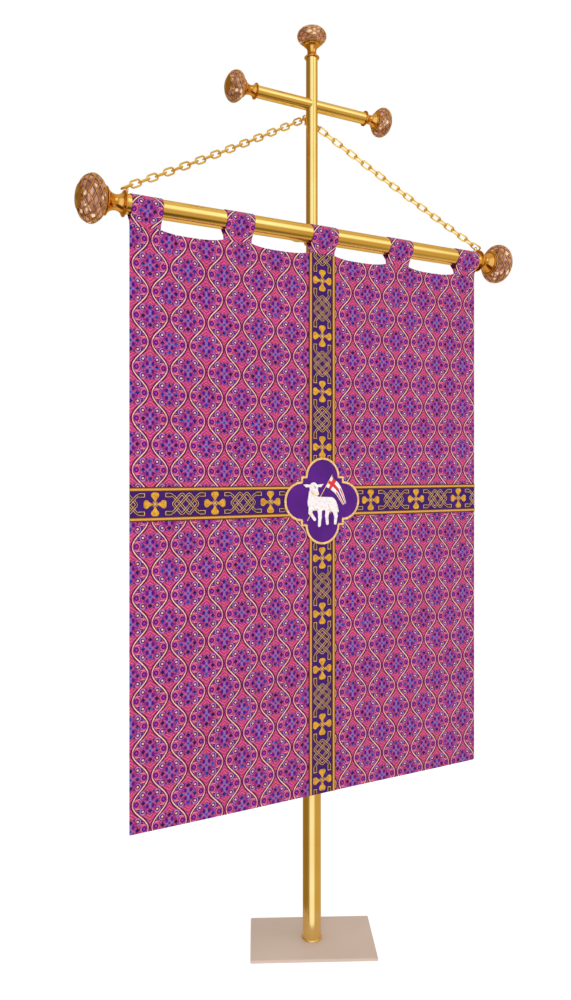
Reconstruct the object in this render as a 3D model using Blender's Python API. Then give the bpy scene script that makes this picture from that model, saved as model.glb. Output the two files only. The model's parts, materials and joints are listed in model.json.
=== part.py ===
"""A church banner of figured brocade, hung by five tabs from a gilt rail on a stand.

Metres, +Z up. The origin is under the middle of the base plate, on the pole's axis.
The banner faces -Y and the rail runs along X.
"""

import math

import bmesh
import bpy
from mathutils import Matrix, Vector

# ---------------------------------------------------------------- driving dimensions
GAP = 0.0003                 # air left between pieces that touch

PLATE_WIDTH = 0.315
PLATE_DEPTH = 0.190
PLATE_THICK = 0.008
PLATE_TURN = math.radians(-26.5)   # the plate is turned on the pole

LOWER_POLE_R = 0.0235
UPPER_POLE_R = 0.0150
STEP_Z = 1.646               # where the thick pole ends, behind the cloth
POLE_TOP_Z = 2.2725
COLLAR_HIGH = 0.022
COLLAR_WALL = 0.0045
COLLAR_SLOPE = (0.004, 0.008)  # where its shoulder starts and ends above the step

BRACKET_WALL = 0.0050          # ring round the pole
BRACKET_HALF_HIGH = 0.010
ARM_HALF = 0.058
ARM_HALF_HIGH = 0.007
ARM_FRONT = -0.0185
ARM_BACK = 0.004
SADDLE_WIDE = 0.014
SADDLE_HALF_HIGH = 0.013
SADDLE_BEHIND = 0.009          # rail axis to a saddle's front
SADDLE_SUNK = 0.008            # a saddle runs this far into the arm
SADDLE_OVER = 0.001            # and stands this far past its end

RAIL_R = 0.0225
RAIL_HALF = 0.511            # to the face of each end flange
RAIL_Y = -0.050              # the rail hangs in front of the pole
RAIL_Z = 1.803

BAR_R = 0.0150
BAR_HALF = 0.161
BAR_Z = 2.152

CLOTH_HALF = 0.500
CLOTH_THICK = 0.0022
HEM_Z = 0.397
ROOT_DROP = 0.0465           # rail axis to the cloth's edge at a tab
SCALLOP_DEEP = 0.0075

TAB_WIDE = 0.073
TAB_CENTRES = (-0.4635, -0.2345, 0.0, 0.2345, 0.4635)
TAB_THICK = 0.0018
TAB_CLEAR = 0.0004           # between the rail and the tab round it
TAB_MEET = 0.040             # rail axis to where the tab's two legs meet

BAND_WIDE = 0.078
BAND_THICK = 0.0010
CROSS_Z = 1.134              # middle of the level band and of the medallion

LOBE_OUT = 0.060             # medallion: lobe centres from its middle
LOBE_R = 0.050
CORNER_HALF = 0.063          # medallion: half the square between the lobes
PATCH_THICK = 0.0016
CORD_WIDE = 0.0065
CORD_THICK = 0.0030

CHAIN_R = 0.006
CHAIN_TOP_DROP = 0.024       # bar axis to the top end of the chains
EYE_X = 0.5057
EYE_R = 0.0065
EYE_WIRE = 0.0014
EYE_LIFT = 0.0085            # rail top to the middle of the eye
EYE_STEM_R = 0.0021
EYE_STEM_SUNK = 0.0006
CHAIN_TOP_X = 0.006          # pole axis to each chain's top end
CHAIN_TOP_BEHIND = 0.0105    # back of the pole to the chains' top ends
CHAIN_SIDES = 12
HOOK_R = 0.0025
HOOK_LONG = 0.020
HOOK_BELOW = 0.006           # under the chains' ends
LIP_HIGH = 0.016
LIP_BEHIND = 0.0178
LIP_SUNK = 0.001
BAR_START = 0.006            # pole axis to a bar's inner end, before it is cut to the pole

TUBE_SIDES = 40
TURNED_SIDES = 24
WIRE_SIDES = 10

CLOTH_FRONT_Y = RAIL_Y - CLOTH_THICK / 2
CLOTH_BACK_Y = RAIL_Y + CLOTH_THICK / 2
BAND_BACK_Y = CLOTH_FRONT_Y - GAP
BAND_FRONT_Y = BAND_BACK_Y - BAND_THICK
PATCH_BACK_Y = BAND_FRONT_Y - GAP

# A finial's turned neck: (share of its length, radius as a share of the tube's radius).
NECK_PROFILE = (
    (0.00, 1.28), (0.06, 1.30), (0.12, 1.10), (0.22, 0.92), (0.38, 0.80),
    (0.54, 0.80), (0.70, 0.92), (0.82, 1.10), (0.90, 1.36), (0.94, 1.42), (1.00, 1.36),
)
BALL_SQUASH = 0.62           # a ball's half length as a share of its radius
BALL_SEAT = 0.97             # a ball's flat as a share of the neck's end
BALL_END = 0.985             # a ball's outline stops at this share of a half turn
BALL_STEPS = 8

# name: (neck length, tube radius, ball radius)
RAIL_FINIAL = (0.0455, RAIL_R, 0.0540)
BAR_FINIAL = (0.0360, BAR_R, 0.0380)

# name: base colour, roughness, metallic
FINISHES = {
    "brocade": ((0.52, 0.15, 0.38), 0.70, 0.0),
    "galloon": ((0.20, 0.07, 0.36), 0.65, 0.0),
    "satin": ((0.16, 0.03, 0.32), 0.50, 0.0),
    "gold_cord": ((0.78, 0.60, 0.28), 0.50, 0.0),
    "gilt_tube": ((0.80, 0.58, 0.20), 0.30, 1.0),
    "gilt_polished": ((0.85, 0.58, 0.18), 0.12, 1.0),
    "lattice_ball": ((0.62, 0.42, 0.30), 0.25, 1.0),
    "painted_plate": ((0.58, 0.48, 0.41), 0.60, 0.0),
}


# ---------------------------------------------------------------- helpers
def clear_scene():
    for obj in list(bpy.data.objects):
        bpy.data.objects.remove(obj)


def make_finish(name):
    colour, rough, metal = FINISHES[name]
    material = bpy.data.materials.new(name)
    material.use_nodes = True
    shader = material.node_tree.nodes["Principled BSDF"]
    shader.inputs["Base Color"].default_value = (*colour, 1.0)
    shader.inputs["Roughness"].default_value = rough
    shader.inputs["Metallic"].default_value = metal
    return material


def add_object(name, bm, finish, location=(0, 0, 0), rotation=None, smooth=False):
    """Turns a finished bmesh into a named object of the stand."""
    bmesh.ops.remove_doubles(bm, verts=bm.verts, dist=0.00001)
    bmesh.ops.recalc_face_normals(bm, faces=bm.faces)
    mesh = bpy.data.meshes.new(name)
    bm.to_mesh(mesh)
    bm.free()
    mesh.materials.append(finish)
    if smooth:
        mesh.shade_smooth()
        mesh.set_sharp_from_angle(angle=math.radians(35))
    obj = bpy.data.objects.new(name, mesh)
    bpy.context.scene.collection.objects.link(obj)
    obj.parent = STAND
    obj.location = location
    if rotation is not None:
        obj.rotation_euler = rotation.to_euler()
    return obj


def turned(profile, sides=TURNED_SIDES):
    """Spins (height, radius) points round +Z; the ends close on the axis."""
    low, high = profile[0][0], profile[-1][0]
    points = [(low, 0.0), *profile, (high, 0.0)]
    bm = bmesh.new()
    verts = [bm.verts.new((radius, 0, height)) for height, radius in points]
    edges = [bm.edges.new(pair) for pair in zip(verts, verts[1:])]
    bmesh.ops.spin(bm, geom=verts + edges, cent=(0, 0, 0), axis=(0, 0, 1),
                   angle=math.tau, steps=sides, use_merge=True)
    return bm


def tube(radius, length, sides=TUBE_SIDES, edge=0.0006):
    """A round bar from 0 to its length along +Z, with a small chamfer at each end."""
    return turned([(0, radius - edge), (edge, radius),
                   (length - edge, radius), (length, radius - edge)], sides)


def prism(loops, axis, start, stop):
    """Fills flat loops (the first is the outline, the rest are holes) and extrudes them.

    A loop's points are (x, z) for axis "Y" and (y, z) for axis "X".
    """
    def at(u, v, depth):
        return (u, depth, v) if axis == "Y" else (depth, u, v)

    bm = bmesh.new()
    edges = []
    for loop in loops:
        verts = [bm.verts.new(at(u, v, start)) for u, v in loop]
        edges += [bm.edges.new(pair) for pair in zip(verts, verts[1:] + verts[:1])]
    bmesh.ops.triangle_fill(bm, edges=edges, use_beauty=True)
    walls = bmesh.ops.extrude_face_region(bm, geom=list(bm.faces))
    moved = [item for item in walls["geom"] if isinstance(item, bmesh.types.BMVert)]
    bmesh.ops.translate(bm, verts=moved, vec=Vector(at(0, 0, stop - start)))
    return bm


def rectangle(left, right, low, high):
    return [(left, low), (right, low), (right, high), (left, high)]


def aim(direction):
    """The rotation that takes +Z to a direction."""
    return Vector((0, 0, 1)).rotation_difference(Vector(direction)).to_matrix()


def cut(obj, cutter_bm, name):
    """Takes a shape out of an object with a Boolean; the cutter stays out of the build."""
    mesh = bpy.data.meshes.new(name)
    bmesh.ops.remove_doubles(cutter_bm, verts=cutter_bm.verts, dist=0.00001)
    bmesh.ops.recalc_face_normals(cutter_bm, faces=cutter_bm.faces)
    cutter_bm.to_mesh(mesh)
    cutter_bm.free()
    cutter = bpy.data.objects.new(name, mesh)
    bpy.context.scene.collection.objects.link(cutter)
    cutter.hide_render = True
    cutter.display_type = "WIRE"
    boolean = obj.modifiers.new(name, "BOOLEAN")
    boolean.operation = "DIFFERENCE"
    boolean.solver = "EXACT"
    boolean.object = cutter
    return cutter


def join(obj, other_bm, name):
    """Adds a shape to an object with a Boolean union."""
    cutter = cut(obj, other_bm, name)
    obj.modifiers[-1].operation = "UNION"
    return cutter


# ---------------------------------------------------------------- the stand
def make_base_plate(finish):
    loop = rectangle(-PLATE_WIDTH / 2, PLATE_WIDTH / 2, 0.0, PLATE_THICK)
    bm = prism([loop], "Y", -PLATE_DEPTH / 2, PLATE_DEPTH / 2)
    return add_object("base_plate", bm, finish,
                      rotation=Matrix.Rotation(PLATE_TURN, 3, "Z"))


def make_poles(finish):
    foot = PLATE_THICK + GAP
    add_object("lower_pole", tube(LOWER_POLE_R, STEP_Z - foot), finish, (0, 0, foot),
               smooth=True)
    shoulder = STEP_Z + GAP
    add_object("upper_pole", tube(UPPER_POLE_R, POLE_TOP_Z - shoulder), finish,
               (0, 0, shoulder), smooth=True)
    collar_r = UPPER_POLE_R + GAP + COLLAR_WALL
    slope_low, slope_high = COLLAR_SLOPE
    profile = [(0, LOWER_POLE_R), (slope_low, LOWER_POLE_R),
               (slope_high, collar_r), (COLLAR_HIGH, collar_r)]
    collar = add_object("pole_collar", turned(profile, TUBE_SIDES), finish,
                        (0, 0, shoulder), smooth=True)
    hole = tube(UPPER_POLE_R + GAP, COLLAR_HIGH * 3)
    bmesh.ops.translate(hole, verts=hole.verts, vec=(0, 0, shoulder - COLLAR_HIGH))
    cut(collar, hole, "collar_hole")


def make_rail(finish):
    add_object("rail", tube(RAIL_R, 2 * RAIL_HALF), finish,
               (-RAIL_HALF, RAIL_Y, RAIL_Z), aim((1, 0, 0)), smooth=True)


def make_rail_bracket(finish):
    """A ring on the pole with a cross arm whose two saddles hold the rail beside the tab."""
    bracket = add_object("rail_bracket",
                         tube(UPPER_POLE_R + BRACKET_WALL, 2 * BRACKET_HALF_HIGH), finish,
                         (0, 0, RAIL_Z - BRACKET_HALF_HIGH))
    arm = prism([rectangle(-ARM_HALF, ARM_HALF, RAIL_Z - ARM_HALF_HIGH,
                           RAIL_Z + ARM_HALF_HIGH)], "Y", ARM_FRONT, ARM_BACK)
    join(bracket, arm, "bracket_arm")
    for side in (-1, 1):
        inner = side * (ARM_HALF - SADDLE_WIDE)
        outer = side * (ARM_HALF + SADDLE_OVER)
        loop = rectangle(min(outer, inner), max(outer, inner),
                         RAIL_Z - SADDLE_HALF_HIGH, RAIL_Z + SADDLE_HALF_HIGH)
        saddle = prism([loop], "Y", RAIL_Y + SADDLE_BEHIND, ARM_FRONT + SADDLE_SUNK)
        join(bracket, saddle, f"bracket_saddle_{side}")
    seat = tube(RAIL_R + GAP, 2 * RAIL_HALF)
    bmesh.ops.rotate(seat, verts=seat.verts, matrix=aim((1, 0, 0)))
    bmesh.ops.translate(seat, verts=seat.verts, vec=(-RAIL_HALF, RAIL_Y, RAIL_Z))
    cut(bracket, seat, "bracket_seat")
    hole = tube(UPPER_POLE_R + GAP, 4 * BRACKET_HALF_HIGH)
    bmesh.ops.translate(hole, verts=hole.verts, vec=(0, 0, RAIL_Z - 2 * BRACKET_HALF_HIGH))
    cut(bracket, hole, "bracket_hole")


def make_crossbar(finish):
    """Two short tubes whose inner ends are cut to sit on the round of the pole."""
    for side, name in ((-1, "crossbar_left"), (1, "crossbar_right")):
        half = add_object(name, tube(BAR_R, BAR_HALF - BAR_START), finish,
                          (side * BAR_START, 0, BAR_Z), aim((side, 0, 0)), smooth=True)
        pole = tube(UPPER_POLE_R + GAP, 4 * BAR_R)
        bmesh.ops.translate(pole, verts=pole.verts, vec=(0, 0, BAR_Z - 2 * BAR_R))
        cut(half, pole, f"{name}_seat")


def make_finial(name, sizes, foot, direction, gilt, lattice):
    """A turned neck and an oblate ball, out from a tube's end along a direction."""
    neck_long, tube_r, ball_r = sizes
    turn = aim(direction)
    start = Vector(foot) + Vector(direction) * GAP
    profile = [(share * neck_long, factor * tube_r) for share, factor in NECK_PROFILE]
    add_object(f"neck_{name}", turned(profile), gilt, start, turn, smooth=True)

    half_long = ball_r * BALL_SQUASH
    seat_r = profile[-1][1] * BALL_SEAT
    first = -half_long * math.sqrt(1 - (seat_r / ball_r) ** 2)
    first_angle = math.acos(-first / half_long)
    ball = []
    for step in range(BALL_STEPS + 1):
        angle = first_angle + (math.pi * BALL_END - first_angle) * step / BALL_STEPS
        ball.append((-half_long * math.cos(angle) - first, ball_r * math.sin(angle)))
    place = start + Vector(direction) * (neck_long + GAP)
    add_object(f"ball_{name}", turned(ball), lattice, place, turn, smooth=True)


def make_finials(gilt, lattice):
    for side, word in ((-1, "left"), (1, "right")):
        foot = (side * RAIL_HALF, RAIL_Y, RAIL_Z)
        make_finial(f"rail_{word}", RAIL_FINIAL, foot, (side, 0, 0), gilt, lattice)
        foot = (side * BAR_HALF, 0, BAR_Z)
        make_finial(f"bar_{word}", BAR_FINIAL, foot, (side, 0, 0), gilt, lattice)
    make_finial("top", BAR_FINIAL, (0, 0, POLE_TOP_Z), (0, 0, 1), gilt, lattice)


def make_eye(name, centre, stem_to, finish):
    """A wire ring that faces along the rail, on a short stem."""
    bm = bmesh.new()
    bmesh.ops.create_circle(bm, segments=WIRE_SIDES, radius=EYE_WIRE)
    bmesh.ops.translate(bm, verts=bm.verts, vec=(0, EYE_R, 0))
    bmesh.ops.spin(bm, geom=list(bm.verts) + list(bm.edges), cent=(0, 0, 0),
                   axis=(1, 0, 0), angle=math.tau, steps=20, use_merge=True)
    eye = add_object(name, bm, finish, centre)
    stem_long = (Vector(stem_to) - Vector(centre)).length - EYE_R + EYE_STEM_SUNK
    stem = tube(EYE_STEM_R, stem_long, WIRE_SIDES, edge=0.0002)
    direction = (Vector(centre) - Vector(stem_to)).normalized()
    bmesh.ops.rotate(stem, verts=stem.verts, matrix=aim(direction))
    bmesh.ops.translate(stem, verts=stem.verts, vec=stem_to)
    join(eye, stem, f"{name}_stem")


def chain_ends(side):
    """Where a chain starts, in the rail's eye, and ends, on the hook behind the pole."""
    low = Vector((side * EYE_X, RAIL_Y, RAIL_Z + RAIL_R + EYE_LIFT + EYE_R))
    high = Vector((side * CHAIN_TOP_X, UPPER_POLE_R + CHAIN_TOP_BEHIND,
                   BAR_Z - CHAIN_TOP_DROP))
    return low, high


def make_chains(finish):
    """Each chain as one slim round bar along its taut line; the eyes and the hook hold it."""
    for side, word in ((-1, "left"), (1, "right")):
        low, high = chain_ends(side)
        along = (high - low).normalized()
        start = low + along * (EYE_WIRE + CHAIN_R + GAP)
        length = (high - start).length - CHAIN_R
        add_object(f"chain_{word}", tube(CHAIN_R, length, CHAIN_SIDES), finish, start, aim(along),
                   smooth=True)
        seat = (side * EYE_X, RAIL_Y, RAIL_Z + RAIL_R + GAP)
        centre = (side * EYE_X, RAIL_Y, RAIL_Z + RAIL_R + EYE_LIFT)
        make_eye(f"eye_{word}", centre, seat, finish)
    hook_z = BAR_Z - CHAIN_TOP_DROP - CHAIN_R - HOOK_BELOW
    shank = tube(HOOK_R, HOOK_LONG, CHAIN_SIDES)
    hook = add_object("chain_hook", shank, finish, (0, UPPER_POLE_R + GAP, hook_z),
                      aim((0, 1, 0)))
    lip = tube(HOOK_R, LIP_HIGH, CHAIN_SIDES)
    bmesh.ops.translate(lip, verts=lip.verts,
                        vec=(0, UPPER_POLE_R + LIP_BEHIND, hook_z - LIP_SUNK))
    join(hook, lip, "hook_lip")


# ---------------------------------------------------------------- the cloth
def cloth_outline():
    """The panel's outline: straight sides and hem, and a scallop between each two tabs."""
    root = RAIL_Z - ROOT_DROP
    points = [(CLOTH_HALF, HEM_Z), (CLOTH_HALF, root)]
    lefts = [centre - TAB_WIDE / 2 for centre in TAB_CENTRES]
    rights = [centre + TAB_WIDE / 2 for centre in TAB_CENTRES]
    steps = 14
    for right, left in reversed(list(zip(rights, lefts[1:]))):
        for step in range(steps + 1):
            share = step / steps
            drop = SCALLOP_DEEP * (1 - abs(2 * share - 1) ** 3)
            points.append((left + (right - left) * share, root - drop))
    points += [(-CLOTH_HALF, root), (-CLOTH_HALF, HEM_Z)]
    return points


def make_cloth(finish):
    bm = prism([cloth_outline()], "Y", CLOTH_FRONT_Y, CLOTH_BACK_Y)
    add_object("banner_cloth", bm, finish)


def tab_section():
    """(outline, hole) of a tab as (y, z): up one side of the rail, over it and down."""
    inner = RAIL_R + TAB_CLEAR
    outer = inner + TAB_THICK
    lean = math.asin(inner / TAB_MEET)
    half = CLOTH_THICK / 2
    outer_meet = outer / math.sin(lean)
    root = -ROOT_DROP + GAP
    steps = 18

    def arc(radius):
        sweep = math.pi + 2 * lean
        angles = [-lean + sweep * step / steps for step in range(steps + 1)]
        return [(RAIL_Y + radius * math.cos(a), RAIL_Z + radius * math.sin(a))
                for a in angles]

    neck_z = RAIL_Z - outer_meet + half / math.tan(lean)
    outline = [(RAIL_Y - half, neck_z), (RAIL_Y - half, RAIL_Z + root),
               (RAIL_Y + half, RAIL_Z + root), (RAIL_Y + half, neck_z)]
    outline += arc(outer)
    hole = [(RAIL_Y, RAIL_Z - TAB_MEET), *arc(inner)]
    return outline, hole


def make_tabs(finish):
    outline, hole = tab_section()
    for number, centre in enumerate(TAB_CENTRES, 1):
        bm = prism([outline, hole], "X", centre - TAB_WIDE / 2, centre + TAB_WIDE / 2)
        add_object(f"tab_{number}", bm, finish, smooth=True)


def make_bands(finish):
    top = RAIL_Z - ROOT_DROP - 0.001
    half = BAND_WIDE / 2
    upright = prism([rectangle(-half, half, HEM_Z, top)], "Y", BAND_FRONT_Y, BAND_BACK_Y)
    add_object("band_upright", upright, finish)
    for side, word in ((-1, "left"), (1, "right")):
        near, far = side * (half + GAP), side * CLOTH_HALF
        loop = rectangle(min(near, far), max(near, far), CROSS_Z - half, CROSS_Z + half)
        level = prism([loop], "Y", BAND_FRONT_Y, BAND_BACK_Y)
        add_object(f"band_{word}", level, finish)


def quatrefoil(grow):
    """Four lobes with a square corner between each two, grown or shrunk evenly."""
    radius = LOBE_R + grow
    corner = CORNER_HALF + grow
    limit = math.acos((corner - LOBE_OUT) / radius)
    steps = 16
    points = []
    for quarter in range(4):
        turn = quarter * math.pi / 2
        lobe = []
        for step in range(steps + 1):
            angle = -limit + 2 * limit * step / steps
            lobe.append((LOBE_OUT + radius * math.cos(angle), radius * math.sin(angle)))
        lobe.append((corner, corner))
        cos, sin = round(math.cos(turn)), round(math.sin(turn))
        points += [(x * cos - z * sin, CROSS_Z + x * sin + z * cos) for x, z in lobe]
    return points


def make_medallion(satin, cord):
    patch = prism([quatrefoil(-CORD_WIDE - GAP)], "Y", PATCH_BACK_Y - PATCH_THICK,
                  PATCH_BACK_Y)
    add_object("medallion", patch, satin)
    ring = prism([quatrefoil(0), quatrefoil(-CORD_WIDE)], "Y",
                 PATCH_BACK_Y - CORD_THICK, PATCH_BACK_Y)
    add_object("medallion_cord", ring, cord)


# ---------------------------------------------------------------- the whole object
clear_scene()
STAND = bpy.data.objects.new("stand", None)
bpy.context.scene.collection.objects.link(STAND)
finishes = {name: make_finish(name) for name in FINISHES}

make_base_plate(finishes["painted_plate"])
make_poles(finishes["gilt_tube"])
make_rail(finishes["gilt_tube"])
make_rail_bracket(finishes["gilt_polished"])
make_crossbar(finishes["gilt_tube"])
make_finials(finishes["gilt_polished"], finishes["lattice_ball"])
make_chains(finishes["gilt_polished"])
make_cloth(finishes["brocade"])
make_tabs(finishes["brocade"])
make_bands(finishes["galloon"])
make_medallion(finishes["satin"], finishes["gold_cord"])
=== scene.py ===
# %% [markdown]
# # A church banner on its gilt stand
# A banner of figured brocade hangs by five tabs from a gilt rail. Two ribbons of galloon are
# sewn over it as a cross, with a quatrefoil patch where they meet. A bracket carries the rail on
# a pole that stands in a flat steel plate, and two chains run up from the rail's ends to it.
# The hard parts were made to size in CAD and are loaded here as a fixed frame. This file
# makes what is seen: every piece is built in the same place, in metres, and rides on the frame.

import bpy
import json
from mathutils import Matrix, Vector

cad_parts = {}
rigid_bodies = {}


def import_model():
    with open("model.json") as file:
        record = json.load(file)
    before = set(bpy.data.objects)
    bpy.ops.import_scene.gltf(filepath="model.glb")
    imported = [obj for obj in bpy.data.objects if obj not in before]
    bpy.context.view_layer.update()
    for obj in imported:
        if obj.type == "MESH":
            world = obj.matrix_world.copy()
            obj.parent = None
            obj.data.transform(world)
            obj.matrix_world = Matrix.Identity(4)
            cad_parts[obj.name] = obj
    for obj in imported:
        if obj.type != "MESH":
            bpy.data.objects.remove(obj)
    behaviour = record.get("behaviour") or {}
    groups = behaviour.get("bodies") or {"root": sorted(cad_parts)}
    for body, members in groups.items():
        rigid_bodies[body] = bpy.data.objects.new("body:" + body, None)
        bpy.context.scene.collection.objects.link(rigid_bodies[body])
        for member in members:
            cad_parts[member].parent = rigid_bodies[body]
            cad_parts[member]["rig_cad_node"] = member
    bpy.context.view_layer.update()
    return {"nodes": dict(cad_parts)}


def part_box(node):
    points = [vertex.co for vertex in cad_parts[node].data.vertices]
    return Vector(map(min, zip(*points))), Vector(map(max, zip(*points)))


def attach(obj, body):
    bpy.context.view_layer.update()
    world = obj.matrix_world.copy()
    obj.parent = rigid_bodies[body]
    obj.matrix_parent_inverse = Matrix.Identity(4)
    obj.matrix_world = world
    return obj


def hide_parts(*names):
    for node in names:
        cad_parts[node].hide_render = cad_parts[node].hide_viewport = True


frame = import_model()

# %% The rest of the imports, and the sizes read from the frame
import json
import math

import bmesh
import bpy
import numpy as np
from mathutils import Matrix, Vector

MM = 0.001
PART_GAP = 0.3 * MM                      # air left between pieces that touch
rail_low, rail_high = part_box("rail")
RAIL_R = (rail_high.z - rail_low.z) / 2
RAIL_Z = (rail_high.z + rail_low.z) / 2
RAIL_Y = (rail_high.y + rail_low.y) / 2
cloth_low, cloth_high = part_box("banner_cloth")
CLOTH_HALF = cloth_high.x
CLOTH_TOP = cloth_high.z
HEM_Z = cloth_low.z
CLOTH_FRONT = cloth_low.y
patch_low, patch_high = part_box("medallion_cord")
CROSS_Z = (patch_low.z + patch_high.z) / 2
PATCH_BACK = patch_high.y
print(f"rail radius {RAIL_R / MM:.1f} mm at {RAIL_Z:.3f} m, cloth {2 * CLOTH_HALF:.3f} m wide")

# %% [markdown]
# ## The studio camera
# The camera is level and stands to the left of the banner, about chest high. A level camera
# keeps the upright lines upright, and a small downward shift of the frame brings the base
# plate in without tilting the view.

# %% Camera
SENSOR = 36.0
camera_data = bpy.data.cameras.new("studio_camera")
camera_data.sensor_width = SENSOR
camera_data.lens = 29.03
camera_data.shift_y = -0.0289
camera = bpy.data.objects.new("studio_camera", camera_data)
camera.location = (-1.052, -1.7945, 1.2091)
camera.rotation_euler = (math.radians(90), 0, math.radians(-28.51))
bpy.context.scene.collection.objects.link(camera)
bpy.context.scene.camera = camera
bpy.context.scene.view_settings.view_transform = "Standard"
print("camera at", tuple(round(c, 3) for c in camera.location))

# %% [markdown]
# ## Words for shaders
# A pattern woven from maths needs many small nodes. Wiring them by hand hides the thought, so
# `Flow` lets a sum be written as a sum: `abs(x) - 3` adds two Math nodes. `Recipe` holds one
# material and the few kinds of node that the finishes below share.

# %% Colours and the Flow of numbers
def srgb(red, green, blue):
    """A colour given from 0 to 255 as the linear light that shaders use."""
    def linear(value):
        share = value / 255
        return share / 12.92 if share <= 0.04045 else ((share + 0.055) / 1.055) ** 2.4
    return (linear(red), linear(green), linear(blue), 1.0)


class Flow:
    """A number on its way between nodes; each sum written with it becomes a Math node."""

    def __init__(self, recipe, socket):
        self.recipe = recipe
        self.socket = socket

    def math(self, operation, *others):
        node = self.recipe.node("ShaderNodeMath", operation=operation)
        for socket, value in zip(node.inputs, (self, *others)):
            self.recipe.feed(socket, value)
        return Flow(self.recipe, node.outputs[0])

    def __add__(self, other):
        return self.math("ADD", other)

    def __sub__(self, other):
        return self.math("SUBTRACT", other)

    def __mul__(self, other):
        return self.math("MULTIPLY", other)

    def __truediv__(self, other):
        return self.math("DIVIDE", other)

    def __rsub__(self, other):
        return self.math("MULTIPLY_ADD", -1.0, other)

    def __abs__(self):
        return self.math("ABSOLUTE")

    __radd__ = __add__
    __rmul__ = __mul__

    def wrapped(self, period):
        """The number folded into the stretch of one period round nought."""
        return self.math("WRAP", period / 2, -period / 2)

    def under(self, edge, soft):
        """1 below an edge and 0 above it, with a soft step between."""
        node = self.recipe.node("ShaderNodeMapRange")
        feeds = (("Value", self), ("From Min", edge - soft / 2), ("From Max", edge + soft / 2),
                 ("To Min", 1.0), ("To Max", 0.0))
        for name, value in feeds:
            self.recipe.feed(node.inputs[name], value)
        return Flow(self.recipe, node.outputs["Result"])

    def over(self, edge, soft):
        return 1.0 - self.under(edge, soft)


print("pure red is", srgb(255, 0, 0))


# %% Wiring: short words for any node tree, and Recipe: one material
class Wiring:
    """Adds nodes to a tree and feeds their sockets with links or plain values."""

    def __init__(self, tree):
        self.tree = tree

    def node(self, kind, feeds=(), **settings):
        made = self.tree.nodes.new(kind)
        for key, value in settings.items():
            setattr(made, key, value)
        for key, value in dict(feeds).items():
            self.feed(made.inputs[key], value)
        return made

    def feed(self, socket, value):
        if isinstance(value, Flow):
            value = value.socket
        if isinstance(value, bpy.types.NodeSocket):
            self.tree.links.new(value, socket)
        else:
            socket.default_value = value

    def grain(self, place, scale, detail=2.0, rough=0.5):
        node = self.node("ShaderNodeTexNoise", {"Vector": place, "Scale": scale,
                                                "Detail": detail, "Roughness": rough})
        return Flow(self, node.outputs["Fac"])

    def vector(self, x, y, z=0.0):
        return self.node("ShaderNodeCombineXYZ", {"X": x, "Y": y, "Z": z}).outputs[0]

    def mix(self, share, first, second):
        return self.node("ShaderNodeMix", {0: share, 6: first, 7: second},
                         data_type="RGBA").outputs[2]


class Recipe(Wiring):
    def __init__(self, name, finish):
        self.material = bpy.data.materials.new(name)
        self.material.use_nodes = True
        super().__init__(self.material.node_tree)
        self.shader = self.tree.nodes["Principled BSDF"]
        for socket, value in finish.items():
            self.shader.inputs[socket].default_value = value

    def place(self):
        return self.node("ShaderNodeTexCoord").outputs["Object"]

    def weave_place(self):
        """(across, along) on the piece's own weave map, in millimetres."""
        spread = self.node("ShaderNodeUVMap", uv_map="weave").outputs["UV"]
        split = self.node("ShaderNodeSeparateXYZ", {"Vector": spread})
        return [Flow(self, split.outputs[axis]) * 1000.0 for axis in "XY"]

    def shade(self, colour, amount):
        """A colour made lighter or darker, evenly over its channels."""
        return self.node("ShaderNodeVectorMath", {0: colour, "Scale": amount},
                         operation="SCALE").outputs[0]

    def bump(self, height, depth, strength=1.0):
        node = self.node("ShaderNodeBump", {"Height": height, "Distance": depth,
                                            "Strength": strength})
        self.feed(self.shader.inputs["Normal"], node.outputs["Normal"])

    def finish(self, **links):
        """Feeds the shader's sockets, such as base_color or roughness."""
        for key, value in links.items():
            self.feed(self.shader.inputs[key.replace("_", " ").title()], value)
        print(f"{self.material.name}: {len(self.tree.nodes)} nodes")
        return self.material


# %% [markdown]
# ## Light
# Polished brass shows its surroundings, so the studio matters more for the metal than the
# lamps do. Cloth needs the opposite: even light with no hot spots. The sky can give each what
# it needs, because a ray knows whether it left a dull or a shiny surface. Dull surfaces see an
# even white sky. Shiny ones see a tall cool panel in front, a second one up on the right, a
# brown wall on the left that turns tan on the right, and a floor that is dark in front.

# %% Lamps
def soft_lamp(name, place, target, size, watts):
    """A large soft lamp that lights the cloth but doesn't mirror in the metal."""
    data = bpy.data.lights.new(name, "AREA")
    data.shape = "RECTANGLE"
    data.size, data.size_y = size
    data.energy = watts
    lamp = bpy.data.objects.new(name, data)
    lamp.location = place
    away = Vector(place) - Vector(target)
    lamp.rotation_euler = away.to_track_quat("Z", "Y").to_euler()
    lamp.visible_glossy = False
    bpy.context.scene.collection.objects.link(lamp)
    return lamp


MIDDLE = (0.0, 0.0, 1.25)
soft_lamp("front_softbox", (-1.9, -3.0, 2.0), MIDDLE, (1.8, 2.6), 34)
soft_lamp("right_softbox", (2.6, -2.4, 1.9), MIDDLE, (1.2, 2.4), 10)
soft_lamp("top_softbox", (-0.2, -0.5, 4.2), MIDDLE, (2.6, 1.8), 14)
print("3 lamps")

# %% Sky
FRONT = (-0.477, -0.879)                 # the way the metal's pale panel lies
RIGHT = (0.879, -0.477)
EVEN_LIGHT = 0.80


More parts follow.
